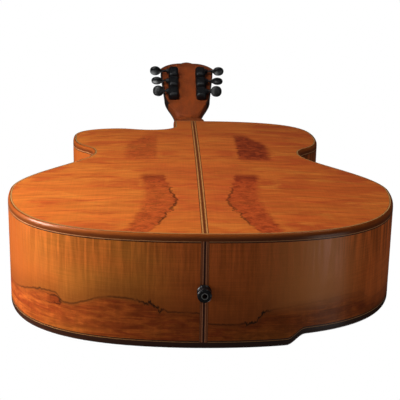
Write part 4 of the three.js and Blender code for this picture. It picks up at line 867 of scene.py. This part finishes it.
# The inlay at the tail, a board from binding to binding
graft_y = np.linspace(BINDING_HEIGHT, back_y(0, 0) - BINDING_HEIGHT, 40)
graft_x = GRAFT / 2 * np.array((-1, 1, 1, -1))
graft_z = np.repeat((-LINES_PROUD - 0.01, SIDE_THICKNESS), 2)
loft("end_graft", spots(graft_x, graft_y[:, None], TAIL_Z + graft_z), graft_wood,
     slot="inlay_ebony", instead=("end_graft_front", "end_graft_back"))


# Back plates, bookmatched, and the strip between them
def half_outline(rows, distance, middle):
    """Half the body's outline at an inset, closed by a straight line beside the middle."""
    side = 1 if rows is treble_rows else -1
    edge = inset(distance, rows)
    edge = edge[side * edge[:, 0] > middle + 1]
    seam = spots(side * middle, np.linspace(BODY_LENGTH - distance, distance, 60))
    return np.concatenate([seam[-1:], edge, seam[:-1]])


def to_tail(points):
    """Outline plates are made over x and h: their height becomes one in the object's frame."""
    return points + (0, 0, TAIL_Z)


for name, rows, node in (("treble_back", treble_rows, "back_treble"),
                         ("bass_back", bass_rows, "back_bass")):
    slab(name, [half_outline(rows, BINDING_WIDTH, STRIP / 2)],
         lambda x, h: back_y(x, h) - PLATE_THICKNESS, back_y, maple_back,
         place=to_tail, slot="back_maple", instead=(node,))

strip_x = STRIP / 2 * np.array((-1, -1, 1, 1))
strip_h = np.linspace(BINDING_WIDTH, BODY_LENGTH - BINDING_WIDTH, 80)[:, None]
strip_drop = PLATE_THICKNESS * np.array((1, 0, 0, 1))
loft("centre_strip", spots(strip_x, back_y(strip_x, strip_h) - strip_drop, TAIL_Z + strip_h),
     strip_wood, slot="inlay_ebony", instead=("back_center_strip",))


# Neck and headstock
NUT_HALF, BOARD_END_HALF = 22.25, 28.75
BOARD_END_Z = fret_z(20) - 7.2
NECK_LEAN, BOARD_THICKNESS = 5.5, 6.5
SHAFT_AT_JOINT, SHAFT_AT_NUT = 17.0, 14.5
HEEL_REACH, HEEL_FLAT, HEEL_HALF = 84.0, 16.0, 15.0
HEAD_TILT = math.radians(17.5)
HEAD_FACE_Y, HEAD_FOOT_Z = 3.5, 5.3
HEAD_LENGTH, HEAD_BASE_H, HEAD_BASE, HEAD_TOP = 192.0, 78.0, 40.0, 47.5
HEAD_CORNER_H, CROWN_H, CROWN_HALF = HEAD_LENGTH - 25, HEAD_LENGTH - 4, 10.0
VENEER_BACK, HEAD_WOOD, ROOT_DEPTH = 2.3, 14.0, 13.2
HEAD_BACK = VENEER_BACK + HEAD_WOOD
ROOT = 44.0


def neck_y(z):
    """The neck leans back in a straight line from the joint to the nut."""
    return NECK_LEAN * (z - JOINT_Z) / -JOINT_Z


def board_y(z):
    return neck_y(z) - BOARD_THICKNESS


def board_half(z):
    """Half the fretboard's width, growing evenly from the nut to its end."""
    return NUT_HALF + (BOARD_END_HALF - NUT_HALF) * z / BOARD_END_Z


def in_head(points):
    """Points x, depth behind the face and height along the headstock, turned by its tilt."""
    x, off, h = np.moveaxis(np.asarray(points, float), -1, 0)
    c, s = math.cos(HEAD_TILT), math.sin(HEAD_TILT)
    return spots(x, HEAD_FACE_Y + off * c + h * s, HEAD_FOOT_Z - off * s + h * c)


HEAD_AXIS = in_head((0, 1, 0)) - in_head((0, 0, 0))


def head_half_outline():
    """Half the headstock's outline from its root up: a flare, a straight edge, a curved crown."""
    flare = bezier((NUT_HALF, 0), (NUT_HALF, HEAD_BASE_H * 0.38), (HEAD_BASE, HEAD_BASE_H * 0.6),
                   (HEAD_BASE, HEAD_BASE_H))
    edge = np.linspace((HEAD_BASE, HEAD_BASE_H), (HEAD_TOP, HEAD_CORNER_H), 12)
    top = bezier((HEAD_TOP, HEAD_CORNER_H), (HEAD_TOP / 2 + 10, CROWN_H), (CROWN_HALF, CROWN_H),
                 steps=24)
    crown = bezier((CROWN_HALF, CROWN_H), (CROWN_HALF / 2, HEAD_LENGTH), (0, HEAD_LENGTH), steps=10)
    return np.concatenate([even(flare, 3.0), edge[1:], top[1:], crown[1:]])


head_half = head_half_outline()


def head_half_width(h):
    return np.interp(h, head_half[:60, 1], head_half[:60, 0])


def closed_head(low):
    """The whole outline above a height, both halves."""
    foot = [(head_half_width(low), low)]
    return both_halves(np.concatenate([foot, head_half[head_half[:, 1] > low + 1]]), 12)


TUNERS = [(6, -1, 0), (5, -1, 1), (4, -1, 2), (3, 1, 2), (2, 1, 1), (1, 1, 0)]
POST_OUT, FIRST_POST, POST_STEP, POST_HOLE = 24.0, 66.0, 36.0, 5.1
post_places = {number: (side * POST_OUT, FIRST_POST + row * POST_STEP)
               for number, side, row in TUNERS}
holes = [circle(x, h, POST_HOLE) for x, h in post_places.values()]


def neck_ring(z, count=41):
    """A neck section from one edge of the fretboard round the back to the other: a superellipse.

    It is round at the shaft. Down the heel it deepens, narrows behind and its sides grow square.
    """
    up = z - JOINT_Z
    left = max(0.0, 1 - (up - HEEL_FLAT) / (HEEL_REACH - HEEL_FLAT))
    heel = 1.0 if up < HEEL_FLAT else left ** 2.6
    shaft = SHAFT_AT_JOINT + (SHAFT_AT_NUT - SHAFT_AT_JOINT) * up / -JOINT_Z
    depth = shaft + (DEPTH_AT_NECK - PLATE_THICKNESS - neck_y(z) - shaft) * heel
    power = 2 / (2.3 + 4 * min(1.0, heel * 2))
    turn = np.linspace(0, np.pi, count)
    down = squared(np.sin(turn), power)
    narrowing = (1 - HEEL_HALF / board_half(z)) * min(1.0, heel * 3)
    x = board_half(z) * squared(np.cos(turn), power) * (1 - narrowing * down ** 1.4)
    return spots(x, neck_y(z) + depth * down, z)


def root_ring(h, count=41):
    """A section of the headstock's root: the neck's round back turns into a flat slab."""
    share = smooth(h, -4, ROOT)
    power = 2 / (2.3 + 16 * share ** 1.5)
    turn = np.linspace(0, np.pi, count)
    depth = ROOT_DEPTH + (HEAD_WOOD - ROOT_DEPTH) * share
    return in_head(spots(head_half_width(h) * squared(np.cos(turn), power),
                         VENEER_BACK + depth * squared(np.sin(turn), power), h))


# The neck from the body to the headstock's root, its sections joined smoothly across the nut
neck_zs = JOINT_Z + 0.3 + (-JOINT_Z - 3) * np.linspace(0, 1, 90) ** 1.4
neck_rings = np.array([neck_ring(z) for z in neck_zs]
                      + [root_ring(h) for h in np.linspace(6, ROOT, 16)])
from_edge = np.minimum(*(np.linalg.norm(neck_rings - neck_rings[:, [end]], axis=-1)
                         for end in (0, -1)))
loft("neck_shaft", neck_rings, head_wood, angle=40, slot="neck_mahogany", instead=("neck",),
     uv=spots(from_edge, neck_rings[..., 2]).reshape(-1, 2) * MM)

head_rim = closed_head(ROOT - 0.4)
eased(slab("headstock", [head_rim] + holes, VENEER_BACK, HEAD_BACK, head_wood, 7.0, in_head,
           rim=head_rim[:-10], slot="neck_mahogany"), 1.2)
eased(slab("head_veneer", [closed_head(0.3)] + holes, 0.0, VENEER_BACK, ebony, 7.0, in_head,
           slot="ebony", instead=("headstock_veneer",)), 0.4)

# Cover over the truss rod's end, with two screws
COVER_FACE = -2.1
cover_outline = both_halves(bezier((11, 5), (11, 20), (0, 45), steps=20), 8)
eased(slab("rod_cover", [cover_outline], COVER_FACE, -0.3, ebony, 3.0, in_head, slot="ebony",
           instead=("truss_rod_cover",)), 0.5)
screw = disc_profile([(0, 0.45), (1.0, 0.4), (1.9, 0.0), (1.9, -1.2), (0, -1.2)], 0.3)
for number, h in enumerate((9.0, 36.0), 1):
    turned(f"cover_screw_{number}", screw, in_head((0, COVER_FACE, h)), -HEAD_AXIS, steel, 24,
           slot="post_steel")

half_cap = bezier((HEEL_HALF, 0.3), (HEEL_HALF, HEEL_FLAT), (HEEL_HALF / 2, HEEL_FLAT),
                  (0, HEEL_FLAT))
eased(slab("heel_plate", [both_halves(even(half_cap, 1.5), 10)], DEPTH_AT_NECK - 2.5,
           DEPTH_AT_NECK, mahogany, 3.0, lambda points: points + (0, 0, JOINT_Z),
           slot="binding_rosewood", instead=("heel_cap",)), 0.6)


# Tuners: x goes towards the button, depth out of the headstock's back, height up from the post
FACE_DROP, WORM_UP, SHAFT_RISE = 16.6, 9.0, 6.3
POST_RADIUS, POST_TOP = 3.0, -29.1
HOUSING_X, HOUSING_Z, HOUSING_MIDDLE, HOUSING_RISE, DOME = 9.0, 14.5, 3.0, 8.4, 4.2
KNOB_LENGTH, KNOB_WIDE, KNOB_THIN, KNOB_COLLAR = 19.0, 10.0, 4.5, 3.3
BUTTON_TURNS = {6: 2.5, 5: 3.2, 4: 1.2, 3: 1.28, 2: 1.05, 1: 2.55}
LUG_SCREW = disc_profile([(0, 0.55), (1.5, 0.45), (2.1, 0), (2.1, -1.6), (0, -1.6)], 0.3)
SLEEVE = disc_profile([(2.45, 7.6), (4.6, 7.6), (4.6, 10.6), (3.7, 11.6), (3.7, 13.4),
                       (2.45, 13.4)])
BUSHING = [(3.4, -1.0), (7.0, -1.0), (7.0, -0.02), (4.8, -0.02), (4.8, 16.2), (3.4, 16.2)]
POST_NUT = disc_profile([(3.75, -2.9), (5.2, -2.9), (6.1, -2.4), (6.1, -1.0), (3.75, -1.0)],
                        0.2, 3)
POST = disc_profile([(0, POST_TOP), (2.6, POST_TOP), (POST_RADIUS, -28.5), (POST_RADIUS, -27.0),
                     (2.8, -26.4), (2.8, -21.0), (POST_RADIUS, -20.4), (POST_RADIUS, -1.0),
                     (0, -1.0)])


def housing():
    """A housing's rings: a superellipse that rises straight, then domes over to a flat top."""
    arc = np.linspace(0, np.pi / 2, 7)
    dome = spots(DOME * (1 - np.cos(arc)), HOUSING_RISE + DOME * np.sin(arc))
    levels = np.concatenate([[(0.6, 0), (0, 0.6), (0, 7.6)], dome, [(6.5, HOUSING_RISE + DOME)]])
    inset_by, depth = levels.T[..., None]
    turn = full_turn(56)
    return spots(squared(np.cos(turn), 0.45) * (HOUSING_X - inset_by), depth,
                 squared(np.sin(turn), 0.45) * (HOUSING_Z - inset_by) + HOUSING_MIDDLE)


def button(number):
    """The worm shaft's end and the button, in rings along x.

    Their half height and half thickness swell from the shaft's radius into an oval knob, as
    1 - (2u - 1)^2 to a power along the knob, and the knob is turned about the shaft to its place.
    """
    height = post_places[number][1] + WORM_UP
    edge_share = (height - HEAD_BASE_H) / (HEAD_CORNER_H - HEAD_BASE_H)
    start = HEAD_BASE + (HEAD_TOP - HEAD_BASE) * edge_share + 1.5 - POST_OUT
    u = 0.5 - 0.5 * np.cos(np.linspace(0, np.pi, 34))[1:-1]
    swell, collar = 1 - (2 * u - 1) ** 2, KNOB_COLLAR * (u < 0.5)
    x = np.concatenate([[9.4, 9.6, start - 1.4, start - 1.2, start], start + KNOB_LENGTH * u,
                        [start + KNOB_LENGTH]])[:, None]
    shaft, tip = [1.9, 2.0, 2.0, 3.2, KNOB_COLLAR], [0.02]
    wide = np.concatenate([shaft, np.maximum(KNOB_WIDE * swell ** 0.42, collar), tip])[:, None]
    thin = np.concatenate([shaft, np.maximum(KNOB_THIN * swell ** 0.4, collar), tip])[:, None]
    power = 1 - 0.25 * np.clip((x - start) / 4, 0, 1)
    turn = full_turn(40)
    y, z = thin * squared(np.cos(turn), power), wide * squared(np.sin(turn), power)
    c, s = math.cos(BUTTON_TURNS[number]), math.sin(BUTTON_TURNS[number])
    return spots(x, SHAFT_RISE + y * c - z * s, WORM_UP + y * s + z * c)


def tuner(number, side):
    """A sealed housing with a shaft sleeve and a screw, a post with bushing and nut, a button."""
    x, h = post_places[number]

    def place(points):
        """Carries the tuner's own places to the headstock, mirrored on the bass side."""
        return in_head(np.asarray(points, float) * (side, 1, 1) + (x, FACE_DROP, h))
    loft(f"housing_{number}", place(housing()), tuner_metal, angle=50, slot="tuner_black",
         instead=(f"tuner_housing_{number}",))
    turned(f"sleeve_{number}", SLEEVE, place((0, SHAFT_RISE, WORM_UP)), (side, 0, 0),
           tuner_metal, 32, slot="tuner_black")
    turned(f"lug_screw_{number}", LUG_SCREW, place((0, 12.7, -5.0)), HEAD_AXIS, tuner_metal, 24,
           slot="post_steel")
    turned(f"bushing_{number}", BUSHING, in_head((x, 0, h)), HEAD_AXIS, tuner_metal, 32,
           slot="tuner_black")
    turned(f"post_nut_{number}", POST_NUT, in_head((x, 0, h)), HEAD_AXIS, tuner_metal, 6,
           slot="tuner_black")
    turned(f"post_{number}", POST, place((0, 0, 0)), HEAD_AXIS, steel, 32, body=f"post_{number}",
           slot="post_steel", instead=(f"string_post_{number}",))
    loft(f"button_{number}", place(button(number)), tuner_metal, angle=55,
         body=f"button_{number}", slot="tuner_black", instead=(f"tuner_button_{number}",))


# Strings
STRING_GAUGES = {6: 1.35, 5: 1.07, 4: 0.81, 3: 0.61, 2: 0.41, 1: 0.3}
BRIDGE_FACE, BRIDGE_HOLES_Z = -10.8, SADDLE_Z - 12
FRET_HEIGHT, FRET_HALF, NUT_ACTION, OCTAVE_ACTION = 1.1, 1.1, 1.5, 2.2
FIRST_WRAP, WRAP_GAP, WRAPS = -4.1, 0.6, 2.5


def string_x(number, span):
    """A string's place across, the six spread evenly over a span."""
    return span * ((6 - number) / 5 - 0.5)


def string_bottom(z):
    """The strings' undersides lie on one straight line from the nut over the octave fret."""
    low, high = board_y(0) - NUT_ACTION, board_y(fret_z(12)) - FRET_HEIGHT - OCTAVE_ACTION
    return low + (high - low) * z / fret_z(12)


def string_way(number, side):
    """A string's route: out of the bridge, over saddle and nut, then a helix round its post.

    The helix starts where a straight line from the nut touches it: the line's angle to the post,
    less the arc cosine of the helix's radius over the distance.
    """
    radius = STRING_GAUGES[number] / 2
    at_saddle, at_nut = string_x(number, SADDLE_SPAN), string_x(number, NUT_SPAN)
    x, h = post_places[number]
    leave = np.array([at_nut, string_bottom(0) - radius, HEAD_FOOT_Z])
    rise = (leave[1] - HEAD_FACE_Y) * math.sin(HEAD_TILT)
    to_post = np.array([at_nut - x, rise - h])
    reach = POST_RADIUS + radius + 0.35
    start = math.atan2(*to_post[::-1]) - side * math.acos(reach / np.linalg.norm(to_post))
    turns = np.linspace(0, WRAPS, 151)
    angle = start - side * math.tau * turns
    helix = in_head(spots(x + reach * np.cos(angle),
                          FIRST_WRAP - radius - (radius * 2 + WRAP_GAP) * turns,
                          h + reach * np.sin(angle)))
    over = string_bottom(SADDLE_Z) - radius
    straight = np.array([
        (at_saddle, BRIDGE_FACE + 2.2, BRIDGE_HOLES_Z - 0.6),
        (at_saddle, BRIDGE_FACE - 0.9, BRIDGE_HOLES_Z + 1.6),
        (at_saddle, over, SADDLE_Z - 1.6), (at_saddle, over, SADDLE_Z + 1.6),
        (at_nut, string_bottom(0) - radius, 0.3), leave])
    return np.concatenate([straight, helix])


def string(number, side):
    """A tube round its route, its ring set up from the route's direction and the post's axis."""
    path = string_way(number, side)
    tangent = unit(np.gradient(path, axis=0))
    first = unit(np.cross(tangent, HEAD_AXIS))[:, None]
    second = np.cross(tangent[:, None], first)
    turn = full_turn(12)
    rim = np.cos(turn)[:, None] * first + np.sin(turn)[:, None] * second
    wound = number > 2
    loft(f"sounding_string_{number}", path[:, None] + STRING_GAUGES[number] / 2 * rim,
         wound_wire if wound else plain_wire,
         uv=spots(way_along(path)[:, None] * MM, turn).reshape(-1, 2),
         slot="wound_string" if wound else "plain_string", instead=(f"string_{number}",))


for number, side, _ in TUNERS:
    tuner(number, side)
for number, side, _ in TUNERS:
    string(number, side)


# Soundboard, rosette and arm bevel
slab("top_plate", [inset(BINDING_WIDTH + BEVEL_WIDTH * ring_bevel),
                   circle(0, SOUNDHOLE_Z - TAIL_Z, HOLE_RADIUS, 96)],
     0.0, PLATE_THICKNESS, top_spruce, 10.0, to_tail, slot="top_spruce", instead=("soundboard",))
turned("rosette", [(54.0, 0.6), (54.0, -0.05), (62.5, -0.05), (62.5, 0.6)], (0, 0, SOUNDHOLE_Z),
       (0, 1, 0), rosette_wood, 96, slot="inlay_ebony")


def arm_rest():
    """The bevel's skin: lines from the lowered edge up to the soundboard, a little bulged."""
    bulge, thickness = 0.9, 2.6
    rows = np.nonzero(ring_bevel > 0.01)[0]
    share = ring_bevel[rows, None]
    t = np.linspace(0, 1, 9)
    outer = inset(BINDING_WIDTH, rows)[:, None]
    inner = inset(BINDING_WIDTH + BEVEL_WIDTH * ring_bevel, rows)[:, None]
    flats = outer + (inner - outer) * t[:, None]
    y = BEVEL_DEPTH * share * (1 - t) - bulge * share * np.sin(np.pi * t)
    both = np.concatenate([flats, flats[:, ::-1]], axis=1)
    loft("bevel_skin", lift(both, np.concatenate([y, y[:, ::-1] + thickness], axis=1)), ebony,
         uv=both.reshape(-1, 2) * MM, slot="ebony", instead=("arm_bevel",))


arm_rest()


# Bridge and saddle
BRIDGE_HALF, BRIDGE_MIDDLE, BRIDGE_FRONT, BRIDGE_DEPTH, BELLY = 78.0, 46.0, 9.0, 24.0, 9.0
WING_HEIGHT, MIDDLE_RISE = 4.6, 5.9
SADDLE_HALF, SADDLE_RADIUS, SADDLE_FOOT = 36.0, 1.6, -6.0
EYE = disc_profile([(1.0, -0.35), (1.55, -0.35), (1.95, 0.1), (1.95, 0.6), (1.0, 0.6)], 0.2)


def bridge():
    """Sections from end to end: thin wings, a thick middle and a belly towards the tail.

    The height falls over the wings along a smooth step, the belly's edge is a parabola between the
    wings, and the ends are rounded by smooth steps.
    """
    wing = np.linspace(BRIDGE_MIDDLE, BRIDGE_HALF, 22)[1:]
    x = np.concatenate([-wing[::-1], np.linspace(-BRIDGE_MIDDLE, BRIDGE_MIDDLE, 60), wing])[:, None]
    end = smooth(np.abs(x), 70, BRIDGE_HALF)
    top_z = SADDLE_Z + BRIDGE_FRONT - 1.2 * smooth(np.abs(x), 72, BRIDGE_HALF)
    belly = BELLY * np.clip(1 - (x / BRIDGE_MIDDLE) ** 2, 0, 1)
    low_z = SADDLE_Z + BRIDGE_FRONT - BRIDGE_DEPTH - belly + 2.2 * end
    high = WING_HEIGHT + MIDDLE_RISE * (1 - smooth(np.abs(x), 50, 66)) - 1.6 * end
    t = np.linspace(0, np.pi, 15)
    rise = np.sin(t) ** 0.3
    z = (top_z + low_z) / 2 + (top_z - low_z) / 2 * squared(-np.cos(t), 0.55)
    arch = spots(x, -0.02 - high * (0.35 + 0.65 * rise) - 0.28 * rise, z)
    foot_low, foot_top = spots(x, 0, low_z), spots(x, 0, top_z)
    loft("bridge_body", np.concatenate([foot_low, arch, foot_top], axis=1), ebony, angle=40,
         slot="ebony", instead=("bridge",))


def saddle():
    """A thin bone plate with a rounded top whose crest follows the strings' line."""
    x = np.linspace(-SADDLE_HALF, SADDLE_HALF, 40)[:, None]
    t = np.linspace(0, np.pi, 9)
    crest = string_bottom(SADDLE_Z) + 0.02 + 1.4 * (1 - np.sin(t))
    crest = crest + 0.8 * np.abs(x / SADDLE_HALF) ** 6 * (crest < -8)
    foot = np.full((len(x), 1), SADDLE_FOOT)
    z = SADDLE_Z - SADDLE_RADIUS * np.concatenate([[1], np.cos(t), [-1]])
    loft("saddle_bone", spots(x, np.concatenate([foot, crest, foot], axis=1), z), bone,
         slot="bone", instead=("saddle",))


bridge()
saddle()
for number, _, _ in TUNERS:
    eye_place = (string_x(number, SADDLE_SPAN), BRIDGE_FACE + 0.02, BRIDGE_HOLES_Z)
    turned(f"string_eye_{number}", EYE, eye_place, (0, 1, 0), bone, 24, slot="bone")


# Fretboard with its frets, dots and nut
BOARD_EASE = 0.7
DOT_PLACES = {3: [0], 5: [0], 7: [0], 9: [0], 12: [-10, 10], 15: [0], 17: [0]}
DOT = [(0, -0.03), (3.0, -0.03), (3.0, 0.5), (0, 0.5)]


def board():
    """The board: flat across, its edges eased, straight along the neck's lean."""
    z = np.concatenate([[-0.3], np.linspace(-1, JOINT_Z, 60), [JOINT_Z - 3],
                        np.linspace(JOINT_Z - 4, BOARD_END_Z, 20)])[:, None]
    half, top = board_half(z), board_y(z)
    under = np.where(z < JOINT_Z, -0.02, neck_y(z) - 0.02)
    arc = np.linspace(0, np.pi / 2, 4)
    x_edge = half - BOARD_EASE + BOARD_EASE * np.sin(arc)
    y_edge = top + BOARD_EASE - BOARD_EASE * np.cos(arc)
    x = np.concatenate([-x_edge[:, ::-1], x_edge, half, -half], axis=1)
    y = np.concatenate([y_edge[:, ::-1], y_edge, under, under], axis=1)
    loft("fingerboard", spots(x, y, z), ebony, angle=50, slot="ebony", instead=("fretboard",))


def frets():
    """Twenty wires in one piece: a low half round section, closed at both ends."""
    t = np.linspace(0, np.pi, 9)
    points, faces = [], []
    for number in range(1, 21):
        z = fret_z(number)
        half = board_half(z) - 0.15
        x = np.array([-half, 0.8 - half, half - 0.8, half])[:, None]
        high = np.array([0.35, FRET_HEIGHT, FRET_HEIGHT, 0.35])[:, None]
        y = board_y(z) - high * np.sin(t) + 0.1
        wire = spots(x, y, z - FRET_HALF * np.cos(t)).reshape(-1, 3)
        faces += [[i + len(wire) * len(points) for i in face]
                  for face in outward(wire, tube_faces(4, 9))]
        points.append(wire)
    skin("frets", np.concatenate(points), faces, steel, angle=60, slot="post_steel")


def nut():
    """The nut: a rounded bone block with six shallow string slots worn by cosine dips."""
    slot_half, slot_depth, middle, radius = 1.1, 0.9, 2.65, 2.35
    x = np.linspace(-NUT_HALF, NUT_HALF, 240)[:, None]
    away = x - [string_x(number, NUT_SPAN) for number in range(1, 7)]
    dips = np.cos(np.clip(away / slot_half, -1, 1) * np.pi / 2)
    slot = slot_depth * np.max(np.clip(dips, 0, 1), axis=1)[:, None]
    t = np.linspace(0, np.pi, 9)
    crest = string_bottom(0) - 0.5 + slot + 1.2 * (1 - np.sin(t))
    foot = np.full((len(x), 1), 5.2)
    z = middle - radius * np.concatenate([[1], np.cos(t), [-1]])
    loft("nut_bone", spots(x, np.concatenate([foot, crest, foot], axis=1), z), bone, slot="bone",
         instead=("nut",))


board()
frets()
for number, places in DOT_PLACES.items():
    z = (fret_z(number) + fret_z(number - 1)) / 2
    for place, x in enumerate(places, 1):
        turned(f"dot_{number}_{place}", DOT, (x, board_y(z), z), (0, 1, 0), pearl, 32, slot="bone")
nut()

# Jack at the tail
JACK = disc_profile([(3.3, -13), (5.6, -13), (7.0, -12.0), (7.0, -10.2), (4.9, -6.6), (6.3, -2.4),
                     (7.0, -1.6), (7.0, -0.05), (5.9, -0.05), (5.9, 58), (3.3, 58)], 0.7, 6)
CONTACT = disc_profile([(2.7, -12.8), (3.25, -12.8), (3.25, -4), (2.7, -4)], 0.15)
turned("jack", JACK, (0, JACK_Y, TAIL_Z), (0, 0, 1), jack_metal, 64, slot="jack_black",
       instead=("endpin_jack",))
turned("jack_contact", CONTACT, (0, JACK_Y, TAIL_Z), (0, 0, 1), steel, 32, slot="post_steel")

# Inner pieces keep the model's shapes and take woods of their own
for node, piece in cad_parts.items():
    wood = next((w for part, w in INSIDE.items() if part in node and "cover" not in node), None)
    if wood:
        for slot in piece.material_slots:
            slot.material = wood


# Floor, background and lamps, in metres and watts
FLOOR_Z, FLOOR_HALF, FLOOR_GLOW = -2.2, 60.0, 0.82
WORLD_LIGHT, WORLD_SHINE = 0.10, 0.02
MIDDLE = (0.0, 0.08, -0.75)
LAMPS = {
    # name: place, target, power, width, height, spread in degrees
    "key": ((0.8, 0.32, -0.86), MIDDLE, 10.0, 0.35, 0.35, 180),
    "upper": ((1.0, 1.4, -0.9), MIDDLE, 9.6, 0.5, 0.5, 180),
    "right": ((-0.7, 1.3, -0.9), MIDDLE, 2.2, 0.5, 0.5, 180),
    "sheen": ((-0.98, -0.3, -1.5), (-0.12, 0.06, -0.8), 0.95, 0.25, 0.5, 180),
    "front": ((0.7, -2.0, 0.3), (0.0, 0.0, -0.45), 40.0, 1.2, 1.2, 180),
    "front_bass": ((-1.1, -1.7, -0.5), (0.0, 0.0, -0.5), 7.0, 1.0, 1.0, 180),
    "head_lamp": ((0.25, 0.9, -0.05), (0.0, 0.03, 0.1), 0.25, 0.3, 0.3, 40),
}


def seen_share(start, shine, scattered=0.0):
    """1 to the camera and through glass, one smaller number in reflections, another elsewhere."""
    rays = start.add("ShaderNodeLightPath", {}, {}).socket.node.outputs
    camera_ray, through, mirrored = (Wire(start.tree, rays[f"Is {kind} Ray"])
                                     for kind in ("Camera", "Transmission", "Glossy"))
    clear = camera_ray.most(through)
    return clear + (mirrored * (shine - scattered) + scattered) * (1 - clear)


def floor_look(start):
    """Pale matt paper, nearly white to the camera, throwing little light back."""
    speck = at(start).noise(4, scale=30)
    seen = seen_share(start, 0.0)
    paper = speck.mix((0.84, 0.84, 0.83), (0.9, 0.9, 0.89))
    return {"Base Color": seen.mix((0.2, 0.2, 0.2), paper), "Roughness": speck * 0.1 + 0.7,
            "Emission Color": seen.shade((1.0, 1.0, 1.0)), "Height": (speck, 0.05, 0.0005)}


# A wide pale floor below the tail
mesh = bpy.data.meshes.new("floor")
mesh.from_pydata([(x * FLOOR_HALF, y * FLOOR_HALF, FLOOR_Z)
                  for x, y in ((-1, -1), (1, -1), (1, 1), (-1, 1))], [], [(0, 1, 2, 3)])
mesh.materials.append(finish_of("floor", floor_look, {"Emission Strength": FLOOR_GLOW}))
floor = bpy.data.objects.new("floor", mesh)
scene.collection.objects.link(floor)

# To the camera the world is white, in reflections and as a light it is dim
world = bpy.data.worlds.new("studio")
world.use_nodes = True
world.node_tree.nodes.clear()
start = Wire(world.node_tree)
lit = start.add("ShaderNodeBackground", {}, {
    "Color": (1.0, 1.0, 1.0, 1.0), "Strength": seen_share(start, WORLD_SHINE, WORLD_LIGHT)})
start.add("ShaderNodeOutputWorld", {}, {"Surface": lit}, None)
scene.world = world

for name, (place, target, power, width, height, spread) in LAMPS.items():
    light = bpy.data.lights.new(name, "AREA")
    light.energy, light.shape, light.spread = power, "RECTANGLE", math.radians(spread)
    light.size, light.size_y = width, height
    holder = bpy.data.objects.new(name, light)
    holder.visible_camera = False
    scene.collection.objects.link(holder)
    turn = (Vector(target) - Vector(place)).to_track_quat("-Z", "Y")
    holder.matrix_world = Matrix.Translation(place) @ turn.to_matrix().to_4x4()
